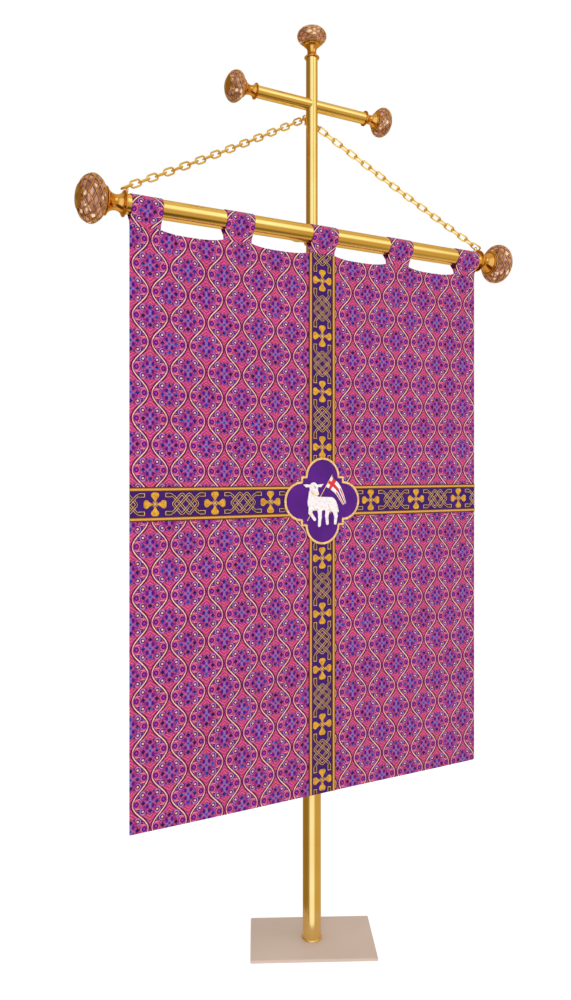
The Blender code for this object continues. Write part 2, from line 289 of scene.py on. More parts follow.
def build_sky():
    world = bpy.data.worlds.new("studio")
    bpy.context.scene.world = world
    world.use_nodes = True
    world.node_tree.nodes.clear()
    sky = Wiring(world.node_tree)
    where = sky.node("ShaderNodeTexCoord").outputs["Generated"]
    split = sky.node("ShaderNodeSeparateXYZ", {"Vector": where})
    x, y, z = (Flow(sky, split.outputs[axis]) for axis in "XYZ")
    level = (x * x + y * y + 0.0001).math("SQRT")
    ahead = (x * FRONT[0] + y * FRONT[1]) / level
    aside = (x * RIGHT[0] + y * RIGHT[1]) / level
    walls = sky.mix(aside.over(-0.50, 0.7), (0.29, 0.19, 0.055, 1), (0.60, 0.44, 0.20, 1))
    front_panel = ahead.over(0.86, 0.18) * z.over(-0.66, 0.2) * z.under(0.70, 0.3)
    right_panel = aside.over(0.70, 0.14) * ahead.over(0.27, 0.3) * z.over(0.14, 0.24) * (
        z.under(0.74, 0.2))
    tint = sky.mix(right_panel, walls, (1.40, 1.40, 1.38, 1))
    tint = sky.mix(z.over(0.82, 0.2), tint, (0.78, 0.64, 0.38, 1))
    below = sky.mix(ahead.over(0.0, 0.8), (0.85, 0.66, 0.36, 1), (0.11, 0.06, 0.012, 1))
    tint = sky.mix(z.under(-0.62, 0.2), tint, below)
    tint = sky.mix(front_panel, tint, (1.12, 1.20, 1.50, 1))
    rays = sky.node("ShaderNodeLightPath")
    shiny = sky.node("ShaderNodeBackground", {"Color": tint})
    dull = sky.node("ShaderNodeBackground", {"Color": (1, 1, 1, 1), "Strength": EVEN_LIGHT})
    seen = sky.node("ShaderNodeBackground", {"Color": (1, 1, 1, 1)})
    lit = sky.node("ShaderNodeMixShader", {0: rays.outputs["Is Diffuse Ray"]})
    sky.feed(lit.inputs[1], shiny.outputs[0])
    sky.feed(lit.inputs[2], dull.outputs[0])
    shown = sky.node("ShaderNodeMixShader", {0: rays.outputs["Is Camera Ray"]})
    sky.feed(shown.inputs[1], lit.outputs[0])
    sky.feed(shown.inputs[2], seen.outputs[0])
    end = sky.node("ShaderNodeOutputWorld")
    sky.feed(end.inputs["Surface"], shown.outputs[0])
    print("sky:", len(world.node_tree.nodes), "nodes")


build_sky()

# %% [markdown]
# ## Gilt metal
# The tubes are satin-polished brass and the turned ends are bright. Polishing leaves fine
# marks, so a fine noise varies the roughness and gives a very shallow bump. A slow drift
# between two warm tones keeps the metal from looking like plastic.

# %% Gilt finishes
def gild(name, colour, deep, rough, polish_scale, spread, metallic=1.0):
    """Metal whose tone and gloss drift over its surface."""
    recipe = Recipe(name, {"Metallic": metallic})
    place = recipe.place()
    drift = recipe.grain(place, 9.0, 2.0)
    fine = recipe.grain(place, polish_scale, 3.0, 0.6)
    tone = recipe.mix(drift.over(0.5, 0.5), colour, deep)
    recipe.bump(fine, 0.00003, 0.15)
    return recipe.finish(base_color=tone, roughness=rough + (fine - 0.5) * spread)


gilt_tube = gild("gilt_tube_satin", srgb(252, 222, 142), srgb(244, 208, 122), 0.19, 420.0, 0.04)
gilt_polished = gild("gilt_bright", srgb(244, 192, 102), srgb(216, 150, 64), 0.08, 260.0, 0.04)
gilt_link = gild("gilt_links", srgb(255, 224, 128), srgb(240, 198, 92), 0.16, 300.0, 0.06, 0.85)
gilt_cast = gild("gilt_lattice", srgb(246, 200, 120), srgb(214, 158, 82), 0.20, 500.0, 0.10)

# %% [markdown]
# The balls are cast as a lattice with small rose-coloured cut stones between the ribs. Each
# stone is a few flat facets in the mesh, so most of its sparkle comes from the shape. The shader
# adds a tint that changes about every centimetre, which is near the width of a stone, and paints
# about one stone in six pale cream as a painted glint.

# %% Stone finish
def tint_stones():
    recipe = Recipe("rose_stone", {"Metallic": 0.15, "Roughness": 0.18, "Coat Weight": 0.3,
                                   "Coat Roughness": 0.05})
    place = recipe.place()
    cells = recipe.node("ShaderNodeTexVoronoi", {"Vector": place, "Scale": 90.0})
    split = recipe.node("ShaderNodeSeparateXYZ", {"Vector": cells.outputs["Color"]})
    pick = Flow(recipe, split.outputs["X"])
    tone = recipe.mix(pick, srgb(204, 146, 126), srgb(98, 54, 34))
    # painted glint: about one stone in six is painted pale cream
    painted_glint_tone = recipe.mix(pick.over(0.84, 0.1), tone, srgb(240, 206, 176))
    return recipe.finish(base_color=painted_glint_tone)


rose_stone = tint_stones()

# %% [markdown]
# ## Building pieces
# Every finished piece sits at the origin with its place in its mesh, like the solids of the
# frame. `add_piece` makes the object, `turned` spins a profile as a lathe does, and `adopt`
# hands the piece to the frame and hides the solids it stands for.

# %% Helpers for meshes
def add_piece(name, points, faces, material, smooth=True, sharp=35.0):
    mesh = bpy.data.meshes.new(name)
    mesh.from_pydata([tuple(p) for p in points], [], [tuple(f) for f in faces])
    mesh.materials.append(material)
    mesh.validate()
    if smooth:
        mesh.shade_smooth()
        mesh.set_sharp_from_angle(angle=math.radians(sharp))
    obj = bpy.data.objects.new(name, mesh)
    bpy.context.scene.collection.objects.link(obj)
    return obj


def face_outward(obj, weld=0.0):
    """Turns every face outward, once points nearer than a distance are welded."""
    bm = bmesh.new()
    bm.from_mesh(obj.data)
    if weld:
        bmesh.ops.remove_doubles(bm, verts=bm.verts, dist=weld)
    bmesh.ops.recalc_face_normals(bm, faces=bm.faces)
    bm.to_mesh(obj.data)
    bm.free()


def dress(material, *nodes):
    """Gives solids of the frame a better finish and keeps them as they are."""
    for node in nodes:
        frame["nodes"][node].data.materials[0] = material


def adopt(obj, slot, *nodes):
    """The piece rides on the frame and stands for solids. The slot is not used."""
    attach(obj, "root")
    if nodes:
        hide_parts(*nodes)
    return obj


def ring_faces(rings, sides):
    """Quads between rings of points, with a flat polygon over each end."""
    faces = []
    for ring in range(rings - 1):
        for side in range(sides):
            near, far = ring * sides, (ring + 1) * sides
            step = (side + 1) % sides
            faces.append((near + side, near + step, far + step, far + side))
    faces.append(tuple(range(sides - 1, -1, -1)))
    last = (rings - 1) * sides
    faces.append(tuple(range(last, last + sides)))
    return faces


def across(direction):
    """Two directions square to one, so that the three make a right-handed set."""
    out = Vector(direction).normalized()
    helper = Vector((0, 0, 1)) if abs(out.z) < 0.9 else Vector((1, 0, 0))
    first = helper.cross(out).normalized()
    return first, out.cross(first)


def turned(name, profile, foot, direction, material, sides=64, sharp=35.0):
    """Spins (distance, radius) points round a direction, out from a foot."""
    first, second = across(direction)
    out = Vector(direction).normalized()
    points = []
    for distance, radius in profile:
        for side in range(sides):
            angle = math.tau * side / sides
            points.append(Vector(foot) + out * distance + first * (radius * math.cos(angle))
                          + second * (radius * math.sin(angle)))
    return add_piece(name, points, ring_faces(len(profile), sides), material, sharp=sharp)


print("helpers ready")

# %% [markdown]
# ## The stand's tubes
# Each tube is a straight turned length with a small chamfer at its ends. The foot of the pole
# has a welded collar where it meets the plate, and a stepped collar joins the thick lower pole
# to the thin upper one.

# %% Poles, rail and crossbar
def tube_profile(length, radius, chamfer=0.0008, rings=14):
    body = [(chamfer + (length - 2 * chamfer) * i / rings, radius) for i in range(rings + 1)]
    return [(0.0, radius - chamfer), *body, (length, radius - chamfer)]


def make_tube(node, name, axis):
    """A tube in place of a round solid of the frame, along one axis."""
    low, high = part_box(node)
    foot = (low + high) / 2
    length = high[axis] - low[axis]
    foot[axis] = low[axis]
    direction = Vector((0, 0, 0))
    direction[axis] = 1.0
    radius = (high[(axis + 1) % 3] - low[(axis + 1) % 3]) / 2
    tube = turned(name, tube_profile(length, radius), foot, direction, gilt_tube)
    return adopt(tube, "gilt_tube", node)


for node, name, axis in (("lower_pole", "pole_lower_tube", 2),
                         ("upper_pole", "pole_upper_tube", 2), ("rail", "rail_tube", 0)):
    make_tube(node, name, axis)
LOWER_R = (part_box("lower_pole")[1].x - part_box("lower_pole")[0].x) / 2
UPPER_R = (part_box("upper_pole")[1].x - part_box("upper_pole")[0].x) / 2
print(f"poles {2 * LOWER_R / MM:.0f} and {2 * UPPER_R / MM:.0f} mm thick")
dress(gilt_tube, "crossbar_left", "crossbar_right", "pole_collar")
dress(gilt_polished, "rail_bracket")

# %% [markdown]
# ## The finials
# Each end has a lathe-turned neck: a flange with a crisp rim, a deep waist, and a flare up to
# a beaded ring. The outline is a smooth curve through control points, which lie close together
# at the rims to keep them crisp.

# %% Necks
NECK_OUTLINE = (
    (0.000, 1.22), (0.012, 1.29), (0.050, 1.31), (0.072, 1.27), (0.090, 1.16), (0.150, 1.01),
    (0.240, 0.88), (0.340, 0.80), (0.450, 0.775), (0.560, 0.80), (0.660, 0.87), (0.750, 0.98),
    (0.830, 1.12), (0.885, 1.23), (0.900, 1.33), (0.925, 1.41), (0.955, 1.42), (0.985, 1.36),
    (1.000, 1.30),
)
FINIALS = {
    "rail_left": (-1, 0, 0), "rail_right": (1, 0, 0), "bar_left": (-1, 0, 0),
    "bar_right": (1, 0, 0), "top": (0, 0, 1),
}


def smooth_outline(points, steps=4):
    """A curve through the points, by Catmull and Rom's rule."""
    out = []
    for i in range(len(points) - 1):
        before = np.array(points[max(i - 1, 0)])
        here, there = np.array(points[i]), np.array(points[i + 1])
        after = np.array(points[min(i + 2, len(points) - 1)])
        for step in range(steps):
            t = step / steps
            out.append(0.5 * (2 * here + (there - before) * t
                              + (2 * before - 5 * here + 4 * there - after) * t ** 2
                              + (3 * here - before - 3 * there + after) * t ** 3))
    out.append(np.array(points[-1]))
    return [tuple(float(value) for value in point) for point in out]


def end_of(node, direction, start):
    """The middle of a solid's near or far face along a direction."""
    low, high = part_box(node)
    middle = (low + high) / 2
    half = (high - low) / 2
    along = Vector(direction)
    return middle + Vector([half[i] * along[i] for i in range(3)]) * (-1 if start else 1)


neck_line = smooth_outline(NECK_OUTLINE)
for word, direction in FINIALS.items():
    foot = end_of(f"neck_{word}", direction, True)
    length = (end_of(f"neck_{word}", direction, False) - foot).length
    tube_r = RAIL_R if word.startswith("rail") else UPPER_R
    profile = [(share * length, factor * tube_r) for share, factor in neck_line]
    neck = turned(f"finial_neck_{word}", profile, foot, direction, gilt_polished, sharp=50.0)
    adopt(neck, "gilt_polished", f"neck_{word}")
    print(f"neck {word}: {length / MM:.1f} mm long")

# %% [markdown]
# A ball's stones lie in a net of diamonds: rows of points go round it, each row turned half a
# step from the last. Four points make a diamond, and each diamond gets a smaller raised face
# with four slopes round it, like a cut stone.

# %% The net of stones
NET_AROUND = 9
NET_ROWS = 8
NET_FIRST = math.radians(38)
NET_LAST = math.radians(152)
STONE_SINK = 0.955
STONE_RISE = 1.035
STONE_TABLE = 0.50


def on_ball(ball, turn, angle, swell=1.0):
    """A point of an oblate ball: turn goes round its axis, angle from its base to its tip."""
    centre, radius, half_long, out, first, second = ball
    ring = radius * math.sin(angle) * swell
    return (centre - out * (half_long * math.cos(angle) * swell)
            + first * (ring * math.cos(turn)) + second * (ring * math.sin(turn)))


def net_angle(row):
    return NET_FIRST + (NET_LAST - NET_FIRST) * row / NET_ROWS


def net_turn(row, number):
    return math.tau * (number + 0.5 * (row % 2)) / NET_AROUND


def make_stones(name, ball):
    points, faces, index = [], [], {}

    def corner(row, number):
        key = (row, number % NET_AROUND)
        if key not in index:
            index[key] = len(points)
            points.append(on_ball(ball, net_turn(*key), net_angle(row), STONE_SINK))
        return index[key]

    def cut_stone(corners):
        """Four slopes and a raised table over a diamond."""
        around = [points[c] for c in corners]
        middle = sum(around, Vector()) / len(around)
        lift = (middle - ball[0]).normalized() * (ball[1] * (STONE_RISE - STONE_SINK))
        table = []
        for point in around:
            table.append(len(points))
            points.append(middle + (point - middle) * STONE_TABLE + lift)
        for i, c in enumerate(corners):
            j = (i + 1) % len(corners)
            faces.append((c, corners[j], table[j], table[i]))
        faces.append(tuple(table))

    for row in range(NET_ROWS - 1):
        shift = row % 2
        for number in range(NET_AROUND):
            left = corner(row + 1, number - 1 + shift)
            right = corner(row + 1, number + shift)
            cut_stone([corner(row, number), right, corner(row + 2, number), left])
    for row, apex in ((0, 1), (NET_ROWS, NET_ROWS - 1)):
        shift = row % 2
        for number in range(NET_AROUND):
            edge = [corner(row, number), corner(row, number + 1), corner(apex, number + shift)]
            faces.append(tuple(edge if row == 0 else edge[::-1]))
        rim = [corner(row, number) for number in range(NET_AROUND)]
        faces.append(tuple(rim[::-1] if row == 0 else rim))
    stones = add_piece(name, points, faces, rose_stone, smooth=False)
    face_outward(stones)
    return stones


print(f"{NET_AROUND * (NET_ROWS - 1)} stones a ball")

# %% [markdown]
# ## Geometry Nodes for what repeats
# Ribs, beads, chain links, embroidered motifs and rope strands all repeat along a path. One
# small tree sweeps a round bar along every edge of a net, and another sets a copy of a piece
# at even steps along a path. The result is made real at the end, because instances don't
# survive an export, and then becomes a plain mesh.

# %% Helpers for node trees
class Plan(Wiring):
    """A geometry tree with a geometry input, named inputs and one geometry output."""

    def __init__(self, name, inputs):
        super().__init__(bpy.data.node_groups.new(name, "GeometryNodeTree"))
        sockets = self.tree.interface
        sockets.new_socket("Geometry", in_out="INPUT", socket_type="NodeSocketGeometry")
        for label, kind in inputs:
            sockets.new_socket(label, in_out="INPUT", socket_type=f"NodeSocket{kind}")
        sockets.new_socket("Geometry", in_out="OUTPUT", socket_type="NodeSocketGeometry")
        self.given = self.node("NodeGroupInput").outputs
        self.end = self.node("NodeGroupOutput").inputs[0]

    def step(self, kind, feeds=(), output=0, **settings):
        """Adds a node and hands on one of its outputs."""
        return self.node(kind, feeds, **settings).outputs[output]

    def finish(self, shape):
        """Makes the shape real, gives it the tree's material and ends the tree."""
        real = self.step("GeometryNodeRealizeInstances", {"Geometry": shape})
        self.feed(self.end, self.step("GeometryNodeSetMaterial",
                                      {"Geometry": real, "Material": self.given["Material"]}))
        return self.tree


def grow(name, base, tree, **values):
    """Runs a tree over a base mesh or curve and returns the result as a plain piece."""
    holder = bpy.data.objects.new(f"{name}_base", base)
    bpy.context.scene.collection.objects.link(holder)
    modifier = holder.modifiers.new(name, "NODES")
    modifier.node_group = tree
    labels = {item.name: item.identifier for item in tree.interface.items_tree
              if item.in_out == "INPUT"}
    for key, value in values.items():
        modifier[labels[key.replace("_", " ").capitalize()]] = value
    bpy.context.view_layer.update()
    graph = bpy.context.evaluated_depsgraph_get()
    mesh = bpy.data.meshes.new_from_object(holder.evaluated_get(graph))
    mesh.name = name
    piece = bpy.data.objects.new(name, mesh)
    bpy.context.scene.collection.objects.link(piece)
    bpy.data.objects.remove(holder)
    print(f"{name}: {len(mesh.polygons)} faces")
    return piece


# %% A tree that sweeps a bar along every edge
def make_rib_tree():
    plan = Plan("ribs_on_a_net", (("Radius", "Float"), ("Sides", "Int"),
                                  ("Material", "Material")))
    line = plan.step("GeometryNodeMeshToCurve", {"Mesh": plan.given["Geometry"]})
    ring = plan.step("GeometryNodeCurvePrimitiveCircle",
                     {"Radius": plan.given["Radius"], "Resolution": plan.given["Sides"]})
    swept = plan.step("GeometryNodeCurveToMesh",
                      {"Curve": line, "Profile Curve": ring, "Fill Caps": True})
    return plan.finish(plan.step("GeometryNodeSetShadeSmooth", {"Geometry": swept}))


rib_tree = make_rib_tree()
print("rib tree:", len(rib_tree.nodes), "nodes")


# %% A tree that sets copies along a path
def make_row_tree(name, pivot):
    """Copies of a piece at even steps along a path, each turned a fixed angle more."""
    plan = Plan(name, (("Piece", "Object"), ("Count", "Int"), ("Twist", "Float"),
                       ("Material", "Material")))
    steps = plan.step("GeometryNodeResampleCurve",
                      {"Curve": plan.given["Geometry"], "Count": plan.given["Count"]})
    copy = plan.step("GeometryNodeObjectInfo", {"Object": plan.given["Piece"]}, "Geometry")
    facing = plan.step("FunctionNodeAlignRotationToVector",
                       {"Vector": plan.step("GeometryNodeInputTangent")},
                       axis="X", pivot_axis=pivot)
    turn = plan.step("ShaderNodeMath", {0: plan.step("GeometryNodeInputIndex"),
                                        1: plan.given["Twist"]}, operation="MULTIPLY")
    spin = plan.step("FunctionNodeAxisAngleToRotation", {"Axis": (1.0, 0.0, 0.0), "Angle": turn})
    turned_more = plan.step("FunctionNodeRotateRotation",
                            {"Rotation": facing, "Rotate By": spin}, rotation_space="LOCAL")
    return plan.finish(plan.step("GeometryNodeInstanceOnPoints",
                                 {"Points": steps, "Instance": copy, "Rotation": turned_more}))


row_tree = make_row_tree("row_on_a_path", "AUTO")
flat_row_tree = make_row_tree("row_on_a_flat_path", "Y")
print("row trees:", len(row_tree.nodes), "nodes each")


def path_curve(name, points, closed=False):
    """A plain line through points, for a row to follow."""
    curve = bpy.data.curves.new(name, "CURVE")
    curve.dimensions = "3D"
    line = curve.splines.new("POLY")
    line.points.add(len(points) - 1)
    for spot, point in zip(line.points, points):
        spot.co = (*point, 1.0)
    line.use_cyclic_u = closed
    return curve


def pattern_piece(name, points, faces, smooth=True):
    """A piece to be copied: it stays out of the picture itself."""
    piece = add_piece(name, points, faces, gilt_link, smooth)
    piece.hide_render = True
    piece.hide_viewport = True
    return piece


# %% [markdown]
# ## Ribs, beads and balls
# The ribs of a ball are two families of spirals that cross at the corners of the stones, so
# they are drawn as lines on the ball and swept with the rib tree. A row of beads rings the
# collar under each ball.

# %% Ribs and stones on every ball
RIB_R = 0.0013
RIB_STEPS = 4


def spiral_lines(ball, radius_share):
    """Both families of spirals as one mesh of edges."""
    points, edges = [], []
    for hand in (-1, 1):
        for number in range(NET_AROUND):
            for step in range(NET_ROWS * RIB_STEPS + 1):
                row = step / RIB_STEPS
                turn = math.tau * (number + hand * 0.5 * row) / NET_AROUND
                points.append(on_ball(ball, turn, net_angle(row), radius_share))
                if step:
                    edges.append((len(points) - 2, len(points) - 1))
    for row in (0, NET_ROWS):
        first = len(points)
        sides = NET_AROUND * 6
        for side in range(sides):
            points.append(on_ball(ball, math.tau * side / sides, net_angle(row), radius_share))
            edges.append((first + side, first + (side + 1) % sides))
    mesh = bpy.data.meshes.new("spiral_lines")
    mesh.from_pydata([tuple(p) for p in points], edges, [])
    return mesh


def bead_points(radius, rings=6, sides=10):
    points, faces = [], []
    for ring in range(1, rings):
        angle = math.pi * ring / rings
        for side in range(sides):
            turn = math.tau * side / sides
            points.append((radius * math.cos(angle), radius * math.sin(angle) * math.cos(turn),
                           radius * math.sin(angle) * math.sin(turn)))
    faces = ring_faces(rings - 1, sides)
    return points, [face[::-1] for face in faces]


BALL_SQUASH = 0.62                       # a ball's half length as a share of its radius
STONE_BALL = (0.985, 0.97)               # the stones' ball, across and along, in the solid
RIB_BALL = 0.99
RAIL_BALL_R = 0.054                      # the sizes below are for a ball of this radius
CAP_RIM = ((0.0, 0.80), (0.0004, 1.02))  # (height, share of the net's last ring)
CAP_DOME = ((0.0022, 1.06), (0.0036, 0.92), (0.0040, 0.60), (0.0046, 0.34), (0.0062, 0.26),
            (0.0072, 0.10))
CAP_SUNK = 0.0006
BEAD_R = 0.0016
BEAD_RING = 1.40                         # the beads' ring as a share of the tube's radius
BEAD_PITCH = 2.15                        # in bead radii
RING_STEPS = 72


def make_ball(word, direction):
    """Stones, ribs, end cap and beads in place of one ball of the frame."""
    node = f"ball_{word}"
    base = end_of(node, direction, True)
    tip = end_of(node, direction, False)
    low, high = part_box(node)
    out = Vector(direction)
    first, second = across(out)
    radius = max(abs((high - low).dot(first)), abs((high - low).dot(second))) / 2
    half_long = BALL_SQUASH * radius
    centre = tip - out * half_long
    ball = (centre, radius * STONE_BALL[0], half_long * STONE_BALL[1], out, first, second)
    adopt(make_stones(f"finial_stones_{word}", ball), "lattice_ball", node)
    scale = radius / RAIL_BALL_R
    ribs = grow(f"finial_ribs_{word}", spiral_lines(ball, RIB_BALL), rib_tree,
                radius=RIB_R * (0.35 + 0.65 * scale), sides=6, material=gilt_cast)
    adopt(ribs, "gilt_polished")
    rim_r = radius * math.sin(NET_LAST)
    top_at = -half_long * math.cos(NET_LAST) * STONE_BALL[1]
    cap = [(height, rim_r * share) for height, share in CAP_RIM]
    cap += [(height * scale, rim_r * share) for height, share in CAP_DOME]
    cap_foot = centre + out * (top_at - CAP_SUNK)
    adopt(turned(f"finial_cap_{word}", cap, cap_foot, direction, gilt_cast, 36, 40.0),
          "gilt_polished")
    tube_r = RAIL_R if word.startswith("rail") else UPPER_R
    bead_r = BEAD_R * (0.4 + 0.6 * scale)
    bead_piece = pattern_piece(f"bead_{word}", *bead_points(bead_r))
    ring_r = tube_r * BEAD_RING
    turns = [math.tau * i / RING_STEPS for i in range(RING_STEPS)]
    circle = [base + out * bead_r + first * (ring_r * math.cos(turn))
              + second * (ring_r * math.sin(turn)) for turn in turns]
    beads = grow(f"finial_beads_{word}", path_curve("bead_ring", circle, True), row_tree,
                 piece=bead_piece, count=int(math.tau * ring_r / (bead_r * BEAD_PITCH)),
                 twist=0.0, material=gilt_cast)
    adopt(beads, "gilt_polished")


for word, direction in FINIALS.items():
    make_ball(word, direction)

# %% [markdown]
# ## The chains
# A chain is one link copied along its line, each a quarter turn from the last. It hangs by its
# own weight, so the line sags a few millimetres between the rail's eye and the hook behind
# the pole.

# %% One link
LINK_LONG = 0.0335
LINK_WIDE = 0.019
WIRE_R = 0.0023
LINK_PITCH = 0.0243
CHAIN_SAG = 0.004
CHAIN_STEPS = 40
HOOK_SIDE = 0.006                        # pole axis to each chain's top end
HOOK_IN = 0.005                          # the top end in from the back of the hook
HOOK_DOWN = 0.004                        # and down from its top


def link_points(long, wide, wire, steps=28, sides=8):
    """A wire bent into a flat oval with straight sides, along X."""
    half, bend = (long - wide) / 2, wide / 2 - wire
    middle = []
    for step in range(steps):
        angle = math.tau * step / steps
        shift = half if math.cos(angle) > 0.001 else -half
        if abs(math.cos(angle)) <= 0.001:
            shift = 0.0
        middle.append(Vector((shift + bend * math.cos(angle), bend * math.sin(angle), 0)))
    points = []
    for step in range(steps):
        angle = math.tau * step / steps
        outward = Vector((math.cos(angle), math.sin(angle), 0))
        for side in range(sides):
            turn = math.tau * side / sides
            points.append(middle[step] + outward * (wire * math.cos(turn))
                          + Vector((0, 0, wire * math.sin(turn))))
    faces = []
    for step in range(steps):
        near, far = step * sides, ((step + 1) % steps) * sides
        for side in range(sides):
            other = (side + 1) % sides
            faces.append((near + side, far + side, far + other, near + other))
    return points, faces


link = pattern_piece("link", *link_points(LINK_LONG, LINK_WIDE, WIRE_R))
for word, side in (("left", -1), ("right", 1)):
    eye_low, eye_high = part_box(f"eye_{word}")
    hook_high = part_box("chain_hook")[1]
    start = Vector((side * (abs(eye_low.x) + abs(eye_high.x)) / 2, RAIL_Y, eye_high.z))
    end = Vector((side * HOOK_SIDE, hook_high.y - HOOK_IN, hook_high.z - HOOK_DOWN))
    line = []
    for step in range(CHAIN_STEPS + 1):
        share = step / CHAIN_STEPS
        drop = CHAIN_SAG * 4 * share * (1 - share)
        line.append(start.lerp(end, share) - Vector((0, 0, drop)))
    count = round((end - start).length / LINK_PITCH) + 1
    chain = grow(f"chain_{word}_links", path_curve("chain_line", line), row_tree,
                 piece=link, count=count, twist=math.pi / 2, material=gilt_link)
    adopt(chain, "gilt_polished", f"chain_{word}")
dress(gilt_link, "eye_left", "eye_right", "chain_hook")

# %% [markdown]
# ## The figured brocade
# Brocade shows its figure by letting coloured threads float over the ground. The figure here
# is a net of wavy gold lines, an ogee, with a small rosette in each opening. The whole plan
# folds on itself: an opening and its neighbours repeat, and each opening is a mirror of itself
# both ways. So the shader folds every point of the cloth into one quarter of one opening, and
# draws each motif there once. A picture of the weave would blur near to; maths doesn't.

# %% The plan of the weave, in millimetres
REPEAT_WIDE = 91.4
REPEAT_HIGH = 115.5
OGEE_MIDDLE = 22.85
OGEE_SWING = 18.2
# where the motifs lie, from the middle of an opening: (across, along)
CURL_AT = (16.9, 18.9)
CURL_DOT_AT = (16.9, 18.7)
EYE_AT = (31.8, 0.0)
PETAL_AT = (6.7, 8.9)
HEAD_AT = (16.1, 19.8)                   # the side heads' distance, then the far heads'
HEAD_R = 5.5
LINE_HALF = 1.05
SCROLL_REACH = 17.0                      # the scrolls lie this near the gold lines
# one over about 7 and 8 mm, so that every opening rounds to whole numbers of its own
CELL_KEY = (0.137, 0.123)


def ogee_edge(z):
    """Half the width of an opening at a height, where its gold line runs."""
    return (z * (math.tau / REPEAT_HIGH)).math("COSINE") * OGEE_SWING + OGEE_MIDDLE


def fold_into_cell(u, v):
    """The point as (x, z) from its own opening's middle, and that opening's numbers."""
    near_x, near_z = u.wrapped(REPEAT_WIDE), v.wrapped(REPEAT_HIGH)
    far_x = (u - REPEAT_WIDE / 2).wrapped(REPEAT_WIDE)
    far_z = (v - REPEAT_HIGH / 2).wrapped(REPEAT_HIGH)
    inside = abs(near_x).math("LESS_THAN", ogee_edge(near_z))
    x = far_x + (near_x - far_x) * inside
    z = far_z + (near_z - far_z) * inside
    return x, z, u - x, v - z


print(f"repeat {REPEAT_WIDE} by {REPEAT_HIGH} mm")


# %% The brocade's motifs
def blob(x, z, middle, size):
    """Below 1 inside an ellipse, above 1 outside it."""
    across_part = (x - middle[0]) / size[0]
    along_part = (z - middle[1]) / size[1]
    return (across_part * across_part + along_part * along_part).math("SQRT")


